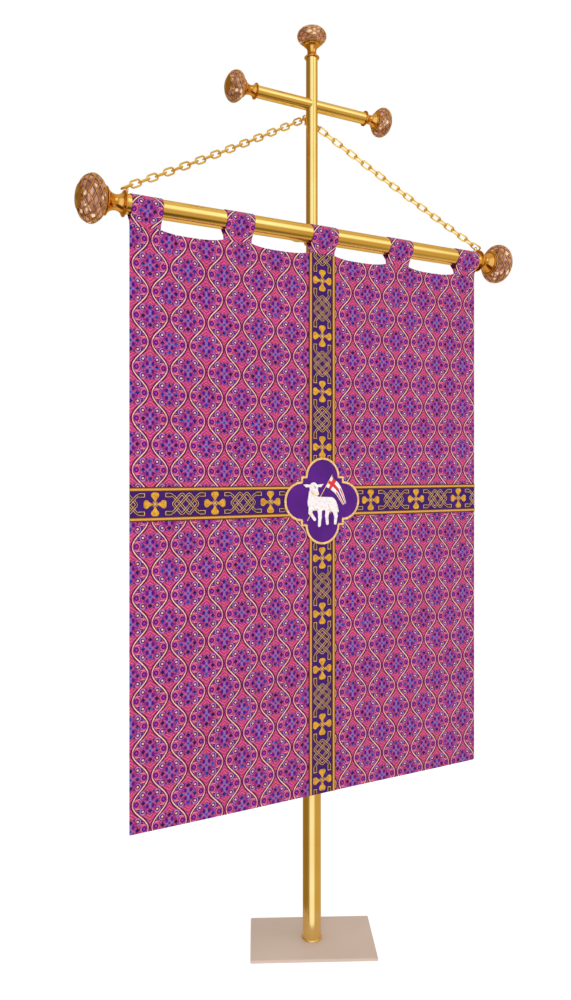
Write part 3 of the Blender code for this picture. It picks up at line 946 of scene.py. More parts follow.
def weave_brocade():
    recipe = Recipe("brocade_figured", {"Sheen Weight": 0.08, "Sheen Roughness": 0.45,
                                        "Specular IOR Level": 0.2})
    u, v = recipe.weave_place()
    x, z, cell_x, cell_z = fold_into_cell(u, v)
    wide, high = abs(x), abs(z)
    place = recipe.vector(u, v)
    speckle = recipe.grain(place, 0.34, 1.0)
    fleck = recipe.grain(recipe.vector(u + 37.0, v), 0.26, 1.0)
    drift = recipe.grain(place, 0.008, 1.0)

    # The scrolls are the same in every quarter of a cell, as a loom would repeat them, so the
    # noise that draws them is read in the folded quarter.
    quarter = recipe.vector(wide, high)
    scroll = recipe.grain(quarter, 0.17, 0.0)
    twig = recipe.grain(recipe.vector(wide + 61.0, high), 0.19, 0.0)
    bud = recipe.grain(recipe.vector(wide, high + 83.0), 0.24, 0.0)

    # which colour of thread a cell's dots are woven in
    side = x.math("SIGN") + z.math("SIGN") * 2.0 + wide.math("GREATER_THAN", high) * 4.0
    pick = recipe.node("ShaderNodeTexWhiteNoise", noise_dimensions="3D")
    recipe.feed(pick.inputs["Vector"],
                recipe.vector((cell_x * CELL_KEY[0]).math("ROUND"),
                              (cell_z * CELL_KEY[1]).math("ROUND"),
                              side.math("ROUND")))
    pick_dot = Flow(recipe, pick.outputs["Value"])

    lay = recipe.mix
    edge = ogee_edge(z)
    slope = (z * (math.tau / REPEAT_HIGH)).math("SINE") * (OGEE_SWING * math.tau / REPEAT_HIGH)
    depth = (edge - wide) * (slope * slope + 1.0).math("INVERSE_SQRT")

    # ground: salmon with fine magenta chevrons at an opening's top and bottom
    colour = lay(speckle.over(0.52, 0.12), srgb(238, 114, 110), srgb(192, 48, 122))
    tips = high.over(22.0, 4.0)
    chevron = abs((wide * 0.80 + high + 1.2).wrapped(7.4)).under(1.5, 1.0)
    colour = lay(chevron * tips * fleck.over(0.30, 0.20) * 0.95, colour, srgb(166, 22, 112))
    colour = lay(high.over(46.0, 7.0) * 0.65, colour, srgb(190, 50, 124))

    # scrollwork beside the lines, in purple, magenta, lavender, pink and plum
    beside = depth.under(SCROLL_REACH, 4.0) * high.under(25.5, 5.0)
    ground_tone = recipe.mix(fleck.over(0.50, 0.08), srgb(66, 2, 104), srgb(160, 22, 124))
    colour = lay(beside, colour, ground_tone)
    colour = lay(beside * bud.over(0.58, 0.06), colour, srgb(246, 110, 140))
    colour = lay(beside * abs(scroll - 0.50).under(0.05, 0.03), colour, srgb(184, 120, 196))
    colour = lay(beside * abs(twig - 0.50).under(0.08, 0.03), colour, srgb(40, 2, 68))
    heart = blob(wide, high, (0.0, 0.0), (25.0, 24.0)).under(1.0, 0.2) * (1.0 - beside)
    colour = lay(heart * abs(bud - 0.5).under(0.04, 0.03) * 0.9, colour, srgb(110, 4, 116))
    colour = lay(heart * twig.over(0.57, 0.05) * 0.8, colour, srgb(150, 16, 112))
    colour = lay(heart * fleck.over(0.52, 0.06) * 0.8, colour, srgb(128, 8, 122))

    # hooked curls in the corners, each round a cream dot
    curl = blob(wide, high, CURL_AT, (1.0, 1.0))
    outside = (wide + high * 0.5).over(22.0, 5.0)
    colour = lay(curl.under(7.4, 1.2) * 0.6, colour, srgb(170, 40, 110))
    colour = lay(abs(curl - 6.4).under(1.0, 0.8) * outside, colour, srgb(190, 136, 204))
    colour = lay(abs(curl - 4.2).under(1.2, 0.8) * (wide * 0.9 - high).over(-8.0, 5.0), colour,
                 srgb(56, 10, 64))
    colour = lay(blob(wide, high, CURL_DOT_AT, (2.5, 2.3)).under(1.0, 0.4), colour,
                 recipe.mix(pick_dot, srgb(250, 198, 116), srgb(238, 198, 200)))

    # a ringed eye at each side, with pink dashes above and below it
    ring = blob(wide, high, EYE_AT, (1.0, 1.1))
    colour = lay(ring.under(8.6, 1.6) * 0.8, colour, srgb(236, 104, 122))
    colour = lay(ring.under(5.9, 0.9), colour, srgb(84, 2, 122))
    colour = lay(ring.under(2.2, 1.0), colour, srgb(190, 50, 160))
    dashes = abs(high - 10.6).under(1.3, 0.9) * abs(wide - 29.0).under(6.0, 2.0)
    colour = lay(dashes, colour, srgb(244, 128, 140))

    # the rosette: a pale cross, four petals, four heads like diamonds and a middle dot
    cross = blob(wide, high, (0.0, 0.0), (3.2, 15.5)).math(
        "MINIMUM", blob(wide, high, (0.0, 0.0), (12.0, 2.2)))
    colour = lay(cross.under(1.0, 0.3), colour, srgb(140, 106, 168))
    petal = blob(wide, high, PETAL_AT, (3.4, 4.8))
    petal_tone = recipe.mix(pick_dot.over(0.55, 0.1), srgb(84, 2, 126), srgb(40, 6, 124))
    colour = lay(petal.under(1.0, 0.25), colour, petal_tone)
    far_head = wide * 0.9 + abs(high - HEAD_AT[1])
    side_head = abs(wide - HEAD_AT[0]) + high * 0.9
    heads = far_head.math("MINIMUM", side_head)
    dot_tone = recipe.mix(pick_dot.over(0.36, 0.04), srgb(28, 2, 50), srgb(16, 14, 100))
    dot_tone = recipe.mix(pick_dot.over(0.60, 0.04), dot_tone, srgb(18, 52, 146))
    dot_tone = recipe.mix(pick_dot.over(0.84, 0.04), dot_tone, srgb(34, 84, 166))
    colour = lay(heads.under(HEAD_R, 1.4), colour, dot_tone)
    middle = blob(wide, high, (0.0, 0.0), (2.7, 2.5))
    colour = lay(middle.under(1.0, 0.4), colour, recipe.mix(
        pick_dot.over(0.5, 0.1), srgb(26, 36, 128), srgb(60, 56, 140)))

    # the net: cream on the slopes, pinker where it runs upright, plum down its outer side
    slant = abs(slope).over(0.40, 0.7)
    upper_half = high.over(29.0, 1.0)
    outer = depth * (upper_half * 2.0 - 1.0)
    colour = lay(abs(outer - 3.0).under(1.4, 0.7), colour, srgb(48, 2, 44))
    colour = lay(abs(outer + 2.9).under(1.1, 0.7) * 0.8, colour, srgb(70, 8, 90))
    strip = abs(wide - REPEAT_WIDE * 0.5).under(1.1, 0.6) * high.under(11.0, 5.0)
    colour = lay(strip * 0.8, colour, srgb(146, 76, 62))
    line_tone = recipe.mix(slant, srgb(230, 146, 156), srgb(255, 222, 160))
    line = abs(depth).under(LINE_HALF, 0.5)
    colour = lay(line, colour, line_tone)

    # the purple warp shows a little between all the coloured wefts
    colour = lay(0.09, colour, srgb(90, 10, 150))

    # threads: rows of weft, each painted a little lighter on its crest than between rows
    # (painted shade), and a little unevenness
    weft = (v * (math.tau / 1.1)).math("SINE")
    warp = (u * (math.tau / 0.9)).math("SINE")
    level = speckle * 1.30 + drift * 0.20 + weft * 0.03 + 0.12
    figure = line.math("MAXIMUM", heads.under(5.6, 2.0)).math("MAXIMUM", curl.under(3.0, 1.5))
    height = figure * 0.6 + speckle * 0.5 + weft * 0.20 + warp * 0.12
    recipe.bump(height, 0.0004, 0.5)
    return recipe.finish(base_color=recipe.shade(colour, level),
                         roughness=0.66 - line * 0.20 + speckle * 0.10)


brocade = weave_brocade()

# %% [markdown]
# The back of a banner is lined with plain stuff a shade duller than the front, set in from the
# edges, where the brocade turns over. The ribbons are galloon: a purple ground between two
# ribbed gold cords.

# %% Lining, galloon and cord finishes
def weave_plain(name, tone, deep, rough, thread, extra=None):
    """Plain cloth: threads both ways and a slow drift of tone."""
    recipe = Recipe(name, {"Sheen Weight": 0.05, "Sheen Roughness": 0.4,
                           "Specular IOR Level": 0.2, **(extra or {})})
    u, v = recipe.weave_place()
    place = recipe.vector(u, v)
    speckle = recipe.grain(place, 0.9, 2.0)
    drift = recipe.grain(place, 0.02, 1.0)
    weft = (v * (math.tau / thread)).math("SINE")
    warp = (u * (math.tau / thread)).math("SINE")
    colour = recipe.mix(drift.over(0.5, 0.6), tone, deep)
    recipe.bump(weft * warp * 0.5 + speckle * 0.5, 0.0003, 0.5)
    return recipe.finish(base_color=recipe.shade(colour, speckle * 0.3 + 0.85),
                         roughness=rough + (speckle - 0.5) * 0.15)


lining = weave_plain("lining_twill", srgb(112, 43, 104), srgb(105, 39, 98), 0.7, 1.2)
galloon_ground = weave_plain("galloon_ground", srgb(62, 14, 106), srgb(50, 10, 90), 0.6, 0.9)
galloon_edge = weave_plain("galloon_outline", srgb(84, 42, 16), srgb(66, 28, 14), 0.6, 0.9)
patch_satin = weave_plain("patch_satin", srgb(88, 20, 130), srgb(70, 12, 108), 0.5, 0.6,
                          {"Anisotropic": 0.3})


def rib_cord():
    """A gold cord woven flat, with ribs across it.
    Its flanks and the grooves between its ribs are painted darker: painted shade.
    """
    recipe = Recipe("galloon_cord", {"Sheen Weight": 0.1})
    u, v = recipe.weave_place()
    rib = (v * (math.tau / 2.6)).math("SINE")
    place = recipe.vector(u, v)
    speckle = recipe.grain(place, 1.1, 2.0)
    # painted shade: the cord is painted darker away from its crown, down its rounded flanks
    belly = abs((abs(u) - 33.6) / 3.2)
    colour = recipe.mix(belly.over(0.62, 0.5), srgb(222, 164, 62), srgb(156, 92, 24))
    recipe.bump(rib * 0.6 + speckle * 0.4, 0.0005, 0.7)
    # painted shade: each rib's crest is painted a little lighter than the groove beside it
    return recipe.finish(base_color=recipe.shade(colour, rib * 0.07 + speckle * 0.2 + 0.88),
                         roughness=0.5 + speckle * 0.1, metallic=0.15 + rib * 0.02)


galloon_cord = rib_cord()


def stitch_thread(name, tone, deep, rough, metal, pitch):
    """Satin stitch: smooth threads that lie side by side and catch the light, with painted shade
    between the stitches.
    """
    recipe = Recipe(name, {"Sheen Weight": 0.1, "Metallic": metal})
    place = recipe.place()
    split = recipe.node("ShaderNodeSeparateXYZ", {"Vector": place})
    x, z = Flow(recipe, split.outputs["X"]), Flow(recipe, split.outputs["Z"])
    waver = recipe.grain(place, 140.0, 2.0)
    ridge = ((x + z * 0.35) * (math.tau / (pitch * MM)) + waver * 5.0).math("SINE")
    fine = recipe.grain(place, 900.0, 2.0)
    colour = recipe.mix(waver.over(0.5, 0.35), tone, deep)
    recipe.bump(ridge * 0.5 + fine * 0.5, 0.0003, 0.6)
    # painted shade: each stitch's crest is painted a little lighter than the groove beside it
    return recipe.finish(base_color=recipe.shade(colour, ridge * 0.05 + fine * 0.2 + 0.9),
                         roughness=rough + (fine - 0.5) * 0.15)


amber_stitch = stitch_thread("amber_stitch", srgb(224, 168, 8), srgb(186, 124, 0), 0.55, 0.0, 0.8)
tan_thread = stitch_thread("tan_thread", srgb(238, 190, 124), srgb(204, 148, 84), 0.5, 0.0, 0.7)
knot_fill = stitch_thread("knot_fill", srgb(60, 22, 44), srgb(42, 12, 36), 0.6, 0.0, 0.7)
rope_gold = stitch_thread("rope_gold", srgb(252, 214, 142), srgb(226, 170, 92), 0.5, 0.1, 0.7)
fleece_white = stitch_thread("fleece_white", srgb(246, 240, 238), srgb(226, 214, 214), 0.6, 0.0, 1.1)
flag_red = stitch_thread("flag_red", srgb(222, 36, 34), srgb(200, 24, 28), 0.5, 0.0, 0.9)
eye_dark = stitch_thread("eye_dark", srgb(30, 34, 40), srgb(18, 20, 26), 0.4, 0.0, 0.6)

# %% [markdown]
# ## The cloth panel
# The panel is cut to 1.00 by 1.36 m. Its top edge dips between the tabs. Heavy lined brocade
# hangs nearly flat, so one slow ripple of a millimetre or two is enough, and everything that
# is sewn to the panel follows the same ripple. A fine grid keeps the ripple smooth, and the
# front and the lining are two faces of one closed sheet.

# %% How the cloth hangs
TAB_NODES = [f"tab_{number}" for number in range(1, 6)]
TAB_SPANS = [(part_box(node)[0].x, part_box(node)[1].x) for node in TAB_NODES]
SCALLOP_DEEP = 7.5 * MM
RIPPLE = 1.6 * MM


def sway(x, z):
    """How far the hanging cloth stands forward (-) or back (+) at a place."""
    fallen = np.clip((CLOTH_TOP - z) / (CLOTH_TOP - HEM_Z), 0, 1)
    wave = np.sin(9.2 * x + 0.9 + 0.8 * z) * 0.6 + np.sin(4.1 * x - 1.1 - 1.3 * z) * 0.4
    return RIPPLE * wave * fallen ** 0.7


def hang(obj):
    """Moves a flat sewn piece with the ripple of the cloth under it."""
    mesh = obj.data
    spots = np.empty(len(mesh.vertices) * 3, np.float32)
    mesh.vertices.foreach_get("co", spots)
    spots = spots.reshape(-1, 3)
    spots[:, 1] += sway(spots[:, 0], spots[:, 2])
    mesh.vertices.foreach_set("co", spots.ravel())
    mesh.update()
    return obj


def top_edge(x):
    """The height of the panel's cut edge: level under a tab and dipping between two."""
    for (_, right), (left, _) in zip(TAB_SPANS, TAB_SPANS[1:]):
        if right < x < left:
            share = (x - right) / (left - right)
            return CLOTH_TOP - SCALLOP_DEEP * (1 - abs(2 * share - 1) ** 3)
    return CLOTH_TOP


def set_weave(mesh, corner_map):
    """Writes the weave map, in metres, from (face index, vertex index) to (across, along)."""
    layer = mesh.uv_layers.new(name="weave")
    for polygon in mesh.polygons:
        for loop in polygon.loop_indices:
            layer.data[loop].uv = corner_map(polygon, mesh.loops[loop].vertex_index)


print("tabs at", [round((a + b) / 2, 4) for a, b in TAB_SPANS])

# %% The panel
PANEL_COLUMNS = 124
PANEL_ROWS = 136
SHEET_THICK = 1.8 * MM
LINING_INSET = 0.018
# The brocade is pieced from four widths whose seams lie under the galloons. For each width:
# where a rosette falls across and up, and how far it was cut off the straight grain.
WIDTHS = {("left", "upper"): (0.0045, 1.5491, -0.0200),
          ("right", "upper"): (0.1377, 1.5501, 0.0197),
          ("left", "lower"): (0.0045, 1.6261, 0.0180),
          ("right", "lower"): (0.1377, 1.6260, -0.0170)}


def column_places():
    """Even columns, with one moved onto every tab's edge and one on the middle."""
    places = [2 * CLOTH_HALF * i / PANEL_COLUMNS - CLOTH_HALF for i in range(PANEL_COLUMNS + 1)]
    for span in TAB_SPANS:
        for edge in span:
            if abs(edge) < CLOTH_HALF - 0.002:
                nearest = min(range(1, PANEL_COLUMNS), key=lambda i: abs(places[i] - edge))
                places[nearest] = edge
    places[PANEL_COLUMNS // 2] = 0.0
    return places


def make_panel():
    places = column_places()
    high = PANEL_ROWS + 1
    points = []
    for depth in (CLOTH_FRONT, CLOTH_FRONT + SHEET_THICK):
        for x in places:
            top = top_edge(x)
            for row in range(high):
                z = HEM_Z + (top - HEM_Z) * row / PANEL_ROWS
                points.append((x, depth, z))
    back = len(places) * high
    faces, kinds = [], []
    for column in range(PANEL_COLUMNS):
        for row in range(PANEL_ROWS):
            a = column * high + row
            b = a + high
            faces.append((a, b, b + 1, a + 1))
            kinds.append(0)
            faces.append((back + a, back + a + 1, back + b + 1, back + b))
            x, z = (places[column] + places[column + 1]) / 2, points[a][2]
            inner = abs(x) < CLOTH_HALF - LINING_INSET and z > HEM_Z + LINING_INSET
            kinds.append(1 if inner and z < CLOTH_TOP - 0.026 else 0)
    rim = [column * high for column in range(PANEL_COLUMNS + 1)]
    rim += [PANEL_COLUMNS * high + row for row in range(1, high)]
    rim += [column * high + PANEL_ROWS for column in range(PANEL_COLUMNS - 1, -1, -1)]
    rim += [row for row in range(PANEL_ROWS - 1, 0, -1)]
    for here, there in zip(rim, rim[1:] + rim[:1]):
        faces.append((here, back + here, back + there, there))
        kinds.append(0)
    panel = add_piece("brocade_panel", points, faces, brocade, sharp=50.0)
    panel.data.materials.append(lining)
    panel.data.polygons.foreach_set("material_index", kinds)

    def phase(polygon, vertex):
        x, _, z = points[vertex]
        side = "left" if polygon.center.x < 0 else "right"
        part = "lower" if polygon.center.z < CROSS_Z else "upper"
        across_phase, up_phase, skew = WIDTHS[side, part]
        return x - across_phase, z - up_phase - skew * x

    set_weave(panel.data, phase)
    return hang(panel)


panel = adopt(make_panel(), "brocade", "banner_cloth")
print("panel:", len(panel.data.polygons), "faces")

# %% [markdown]
# ## The tabs
# A tab is a strip looped over the rail, with both ends sewn into the top of the panel. Its
# path is a short rise, a straight run to where it touches the rail, round the rail and down
# again, drawn once and swept across the strip's width.

# %% Tabs
STRIP_THICK = 1.2 * MM
TAB_PHASE = 0.015                        # a rosette falls this far below the rail's axis
TAB_MEET = 0.040
LEG_APART = 0.8 * MM


def tab_path():
    """The strip's middle line as (y, z) from the rail's axis, from the front end to the back."""
    radius = RAIL_R + 0.0004 + STRIP_THICK / 2
    lean = math.asin(radius / TAB_MEET)
    root = CLOTH_TOP + PART_GAP - RAIL_Z
    leg = [(-LEG_APART, root), (-LEG_APART, root + 0.003), (-LEG_APART * 1.3, -TAB_MEET - 0.0005)]
    contact = (-radius * math.cos(lean), -radius * math.sin(lean))
    rise = []
    for share in (0.15, 0.3, 0.5, 0.7, 0.9):
        start = Vector((-LEG_APART, -TAB_MEET + 0.001))
        rise.append(tuple(start.lerp(Vector(contact), share)))
    sweep = math.pi + 2 * lean
    arc = [(-radius * math.cos(-lean + sweep * i / 28), radius * math.sin(-lean + sweep * i / 28))
           for i in range(29)]
    front = leg + rise
    return front + arc + [(-y, z) for y, z in reversed(front)]


def make_tab(number, span):
    path = [np.array(p) for p in tab_path()]
    along = [0.0]
    for here, there in zip(path, path[1:]):
        along.append(along[-1] + float(np.linalg.norm(there - here)))
    level = min(range(len(path)), key=lambda i: abs(path[i][1]) + (100 if path[i][0] > 0 else 0))
    normals = []
    for i in range(len(path)):
        tangent = path[min(i + 1, len(path) - 1)] - path[max(i - 1, 0)]
        tangent = tangent / np.linalg.norm(tangent)
        normals.append(np.array((-tangent[1], tangent[0])))
    section = [(path[i] + normals[i] * STRIP_THICK / 2, along[i]) for i in range(len(path))]
    section += [(path[i] - normals[i] * STRIP_THICK / 2, along[i])
                for i in range(len(path) - 1, -1, -1)]
    low, high = span
    columns = [low, low + 0.0005, *np.linspace(low + 0.006, high - 0.006, 9), high - 0.0005, high]
    points, weave = [], []
    for x in columns:
        inset = 0.0003 if x in (low, high) else 0.0
        for index, (spot, distance) in enumerate(section):
            middle = path[index] if index < len(path) else path[2 * len(path) - 1 - index]
            toward = middle - spot
            spot = spot + toward * (inset / (STRIP_THICK / 2))
            points.append((x, RAIL_Y + spot[0], RAIL_Z + spot[1]))
            weave.append((x - (low + high) / 2, distance - along[level] + TAB_PHASE))
    faces = [face[::-1] for face in ring_faces(len(columns), len(section))][:-2]
    half, total = len(path), len(section)
    last = (len(columns) - 1) * total
    for i in range(half - 1):
        mirror = total - 1 - i
        faces.append((i, i + 1, mirror - 1, mirror))
        faces.append((last + i, last + mirror, last + mirror - 1, last + i + 1))
    tab = add_piece(f"brocade_tab_{number}", points, faces, brocade, sharp=50.0)
    face_outward(tab)
    set_weave(tab.data, lambda polygon, vertex: weave[vertex])
    return tab, along[-1]


tabs = []
for number, span in enumerate(TAB_SPANS, 1):
    tab, tab_long = make_tab(number, span)
    tabs.append(adopt(tab, "brocade", f"tab_{number}"))
print(f"each tab is cut {tab_long:.3f} m long")
for tab, span in zip(tabs, TAB_SPANS):
    span[1] - span[0]

# %% [markdown]
# ## The galloon ribbons
# The ribbon's section is drawn across its width: a raised ribbed cord near each edge, a brown
# outline on both sides of it and a flat purple field between. The same section is swept along
# the upright ribbon and the two level ones.

# %% Ribbon section and sweep
BAND_BACK = CLOTH_FRONT - PART_GAP
# (distance from the middle, height), in millimetres, and the finish up to the next point
BAND_HALF_SECTION = (
    (0.0, 0.75, 0), (14.0, 0.75, 0), (28.2, 0.75, 0), (28.6, 0.95, 1), (30.0, 0.95, 1),
    (30.4, 1.40, 2), (31.8, 1.85, 2), (33.6, 2.00, 2), (35.4, 1.85, 2), (36.8, 1.40, 2),
    (37.1, 0.95, 1), (38.4, 0.90, 1), (39.0, 0.45, 1),
)
BAND_STEP = 0.010


def make_band(name, start, end, level):
    """A ribbon along Z, or along X when it is level."""
    right = [(d, h, f) for d, h, f in BAND_HALF_SECTION]
    left = [(-d, h, BAND_HALF_SECTION[i - 1][2])
            for i, (d, h, _) in enumerate(BAND_HALF_SECTION)][:0:-1]
    top = left + right
    section = [(d, h) for d, h, _ in top] + [(39.0, 0.0), (-39.0, 0.0)]
    kinds = [f for _, _, f in top[:-1]] + [1, 0, 1]
    steps = max(2, round((end - start) / BAND_STEP))
    points, weave = [], []
    for step in range(steps + 1):
        place = start + (end - start) * step / steps
        for distance, height in section:
            d, y = distance * MM, BAND_BACK - height * MM
            points.append((place, y, CROSS_Z + d) if level else (d, y, place))
            weave.append((d, place))
    sides = len(section)
    faces = ring_faces(steps + 1, sides)
    band = add_piece(name, points, faces, galloon_ground, sharp=50.0)
    band.data.materials.append(galloon_edge)
    band.data.materials.append(galloon_cord)
    indices = [kinds[i % sides] for i in range(steps * sides)] + [0, 0]
    band.data.polygons.foreach_set("material_index", indices)
    set_weave(band.data, lambda polygon, vertex: weave[vertex])
    face_outward(band)
    return hang(band)


bands = {}
for node, level in (("band_upright", False), ("band_left", True), ("band_right", True)):
    low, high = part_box(node)
    start, end = (low.x, high.x) if level else (low.z, high.z)
    band = make_band(node.replace("band", "galloon"), start, end, level)
    bands[node] = (adopt(band, "galloon", node), start, end)
    print(f"{band.name}: {end - start:.3f} m long")

# %% [markdown]
# ## Relief from a drawn outline
# The embroidered figures are padded: high in the middle and falling to their edge. A distance
# function says how far a point is inside a figure. `relief` lays a fine grid over it, keeps
# the cells inside, pulls the outermost points onto the outline, and raises every point by how
# deep inside it lies. The same few shapes, circles and tapered bars, draw every figure.

# %% Shapes that tell their distance, in millimetres
def disc(x, z, middle, radius, squash=1.0):
    return np.hypot(x - middle[0], (z - middle[1]) / squash) - radius


def bar(x, z, start, end, start_r, end_r):
    """A round-ended bar that may taper."""
    run = np.array(end, float) - np.array(start, float)
    share = ((x - start[0]) * run[0] + (z - start[1]) * run[1]) / float(run @ run)
    share = np.clip(share, 0, 1)
    away = np.hypot(x - start[0] - share * run[0], z - start[1] - share * run[1])
    return away - (start_r + (end_r - start_r) * share)


def merged(first, second, soft):
    """Both shapes, with a soft fillet where they meet."""
    share = np.clip(0.5 + 0.5 * (second - first) / soft, 0, 1)
    return second + (first - second) * share - soft * share * (1 - share)


def joined(shapes, soft=2.0):
    whole = shapes[0]
    for shape in shapes[1:]:
        whole = merged(whole, shape, soft)
    return whole


def relief_points(distance, reach, cell, dome, rim, full):
    """Points and faces in millimetres: x, height, z. dome is the rise, reached full mm in."""
    low_x, high_x, low_z, high_z = reach
    xs = np.arange(low_x, high_x + cell, cell)
    zs = np.arange(low_z, high_z + cell, cell)
    grid_x, grid_z = np.meshgrid(xs, zs, indexing="ij")
    depth = distance(grid_x, grid_z)
    inside = depth < 0
    keep = (inside[:-1, :-1] | inside[1:, :-1] | inside[:-1, 1:] | inside[1:, 1:])
    nudge = 0.02
    for _ in range(4):
        here = distance(grid_x, grid_z)
        slope_x = (distance(grid_x + nudge, grid_z) - here) / nudge
        slope_z = (distance(grid_x, grid_z + nudge) - here) / nudge
        size = np.maximum(slope_x ** 2 + slope_z ** 2, 0.25)
        grid_x = np.where(inside, grid_x, grid_x - here * slope_x / size)
        grid_z = np.where(inside, grid_z, grid_z - here * slope_z / size)
    share = np.clip(-distance(grid_x, grid_z) / full, 0, 1)
    height = rim + dome * np.sqrt(np.clip(1 - (1 - share) ** 2, 0, 1))
    return grid_x, grid_z, height, keep


def relief(distance, reach, cell, dome, rim=0.35, full=4.0):
    """A closed padded figure: (points, faces) in metres, facing -Y from a back at y = 0."""
    grid_x, grid_z, height, keep = relief_points(distance, reach, cell, dome, rim, full)
    number = -np.ones(grid_x.shape, int)
    points, faces, edges = [], [], {}
    for i, j in zip(*np.nonzero(keep)):
        corners = ((i, j), (i + 1, j), (i + 1, j + 1), (i, j + 1))
        for corner in corners:
            if number[corner] < 0:
                number[corner] = len(points)
                points.append((grid_x[corner] * MM, -height[corner] * MM, grid_z[corner] * MM))
        face = tuple(int(number[corner]) for corner in corners)
        faces.append(face)
        for here, there in zip(face, face[1:] + face[:1]):
            edges[(here, there)] = True
    front = len(points)
    points += [(x, 0.0, z) for x, _, z in points]
    faces += [tuple(front + vertex for vertex in face[::-1]) for face in list(faces)]
    for here, there in edges:
        if (there, here) not in edges:
            faces.append((there, here, front + here, front + there))
    return points, faces


def relief_piece(name, material, distance, reach, cell, dome, base_y, rim=0.35, full=4.0,
                 middle=(0.0, 0.0)):
    """A padded figure in its place on the banner."""
    points, faces = relief(distance, reach, cell, dome, rim, full)
    placed = [(x + middle[0], y + base_y, z + middle[1]) for x, y, z in points]
    piece = add_piece(name, placed, faces, material, sharp=60.0)
    face_outward(piece, 0.04 * MM)
    return piece


print("relief helpers ready")

# %% [markdown]
# ## Crosslets
# A crosslet is four fat petals of amber satin stitch. One petal is a broad bell on a stem that
# widens towards it, and folding the point over both axes and their diagonal draws all four.

# %% One crosslet
def crosslet(x, z):
    across_part = np.minimum(np.abs(x), np.abs(z))
    along_part = np.maximum(np.abs(x), np.abs(z))
    stem = bar(across_part, along_part, (0, 4.2), (0, 17.5), 0.9, 6.6)
    bell = bar(across_part, along_part, (-3.4, 20.6), (3.4, 20.6), 6.2, 6.2)
    return merged(bell, stem, 3.0)


crosslet_points = relief(crosslet, (-28.5, 28.5, -28.5, 28.5), 1.9, 0.75, 0.30, 4.0)
crosslet_piece = pattern_piece("crosslet", *crosslet_points)


def centre_tie(x, z):
    """The small saltire that ties the petals at the middle."""
    return np.minimum(bar(x, z, (-4.6, -4.6), (4.6, 4.6), 0.9, 0.9),
                      bar(x, z, (-4.6, 4.6), (4.6, -4.6), 0.9, 0.9))


tie_piece = pattern_piece("tie", *relief(centre_tie, (-7, 7, -7, 7), 0.8, 0.35, 0.5, 0.9))

# %% [markdown]
# ## Knots
# Between two crosslets lies a knot of two straps, each a dark ribbon edged with tan thread.
# A strap's path is drawn through its corners. Where it crosses itself or the other strap it
# goes over and under in turn, which the script works out from the crossings.

# %% Two straps that weave over and under
STRAP_CORNERS = ((-20.6, 48.5), (-20.6, 34.0), (-17.6, 29.0), (24.0, -9.0), (0.0, -31.0),
                 (-24.0, -9.0), (17.6, 29.0), (20.6, 34.0), (20.6, 48.5))
STRAP_HALF = 2.9
END_HALF = 4.6
THREAD_WIDE = 1.10
STRAP_STEP = 1.9                         # between points along a strap
CORNER_CUT = 0.06                        # share of each run cut off at its corners
STRAP_REST = 0.30                        # how high a strap lies where nothing crosses it
LIFT = 0.22                              # and how far it rises or dips at a crossing
END_LONG = 15.5                          # a strap is wider over this length at its ends
END_BLEND = 3.0


def cut_corners(points):
    """The path with a little cut off every corner, which rounds it."""
    cut_path = [points[0]]
    for here, there in zip(points, points[1:]):
        run = there - here
        cut_path += [here + run * CORNER_CUT, here + run * (1 - CORNER_CUT)]
    return cut_path + [points[-1]]


def walk(points, step):
    """The path again, at even steps."""
    points = np.array(points)
    along = np.concatenate([[0], np.cumsum(np.linalg.norm(np.diff(points, axis=0), axis=1))])
    at = np.linspace(0, along[-1], round(along[-1] / step) + 1)
    return np.stack([np.interp(at, along, points[:, k]) for k in range(2)], axis=1)


def crossings(first, second, same):
    """Where two paths cross, as distances along the first."""
    found = []
    for i in range(len(first) - 1):
        a, b = first[i], first[i + 1]
        for j in range(len(second) - 1):
            if same and abs(i - j) < 3:
                continue
            c, d = second[j], second[j + 1]
            r, s = b - a, d - c
            cross = r[0] * s[1] - r[1] * s[0]
            if abs(cross) < 1e-9:
                continue
            t = ((c - a)[0] * s[1] - (c - a)[1] * s[0]) / cross
            w = ((c - a)[0] * r[1] - (c - a)[1] * r[0]) / cross
            if 0 <= t < 1 and 0 <= w < 1:
                found.append(i + t)
    return sorted(found)


def strap_paths():
    corners = [np.array(c) for c in STRAP_CORNERS]
    upper = walk(cut_corners(corners), STRAP_STEP)
    lower = upper * np.array((1.0, -1.0))
    lifts = []
    for path, other, first_sign in ((upper, lower, 1), (lower, upper, -1)):
        places = sorted(crossings(path, other, False) + crossings(path, path, True))
        signs = [first_sign * (-1) ** i for i in range(len(places))]
        spots = [0, *places, len(path) - 1]
        values = [0, *signs, 0]
        lifts.append(np.interp(range(len(path)), spots, values))
    return (upper, lower), lifts


def strap_mesh(path, lift, profile):
    """Sweeps (across, height) points along a strap and closes both ends."""
    points = []
    ends = len(path) - 1
    for i, spot in enumerate(path):
        tangent = path[min(i + 1, ends)] - path[max(i - 1, 0)]
        tangent = tangent / np.linalg.norm(tangent)
        normal = np.array((-tangent[1], tangent[0]))
        from_end = min(i, ends - i) * STRAP_STEP
        near_end = float(np.clip((END_LONG - from_end) / END_BLEND, 0, 1))
        widen = 1 + (END_HALF / STRAP_HALF - 1) * near_end
        rise = STRAP_REST + LIFT * float(lift[i])
        for place, height in profile:
            inner = abs(abs(place) - STRAP_HALF) < THREAD_WIDE + 0.05
            where = place * widen if not inner else math.copysign(
                STRAP_HALF * widen - (STRAP_HALF - abs(place)), place)
            spot_xz = spot + normal * where
            points.append((spot_xz[0] * MM, -(height + (rise if height > 0 else 0)) * MM,
                           spot_xz[1] * MM))
    return points, ring_faces(len(path), len(profile))


def combine(parts):
    points, faces = [], []
    for more_points, more_faces in parts:
        shift = len(points)
        points += more_points
        faces += [tuple(vertex + shift for vertex in face) for face in more_faces]
    return points, faces


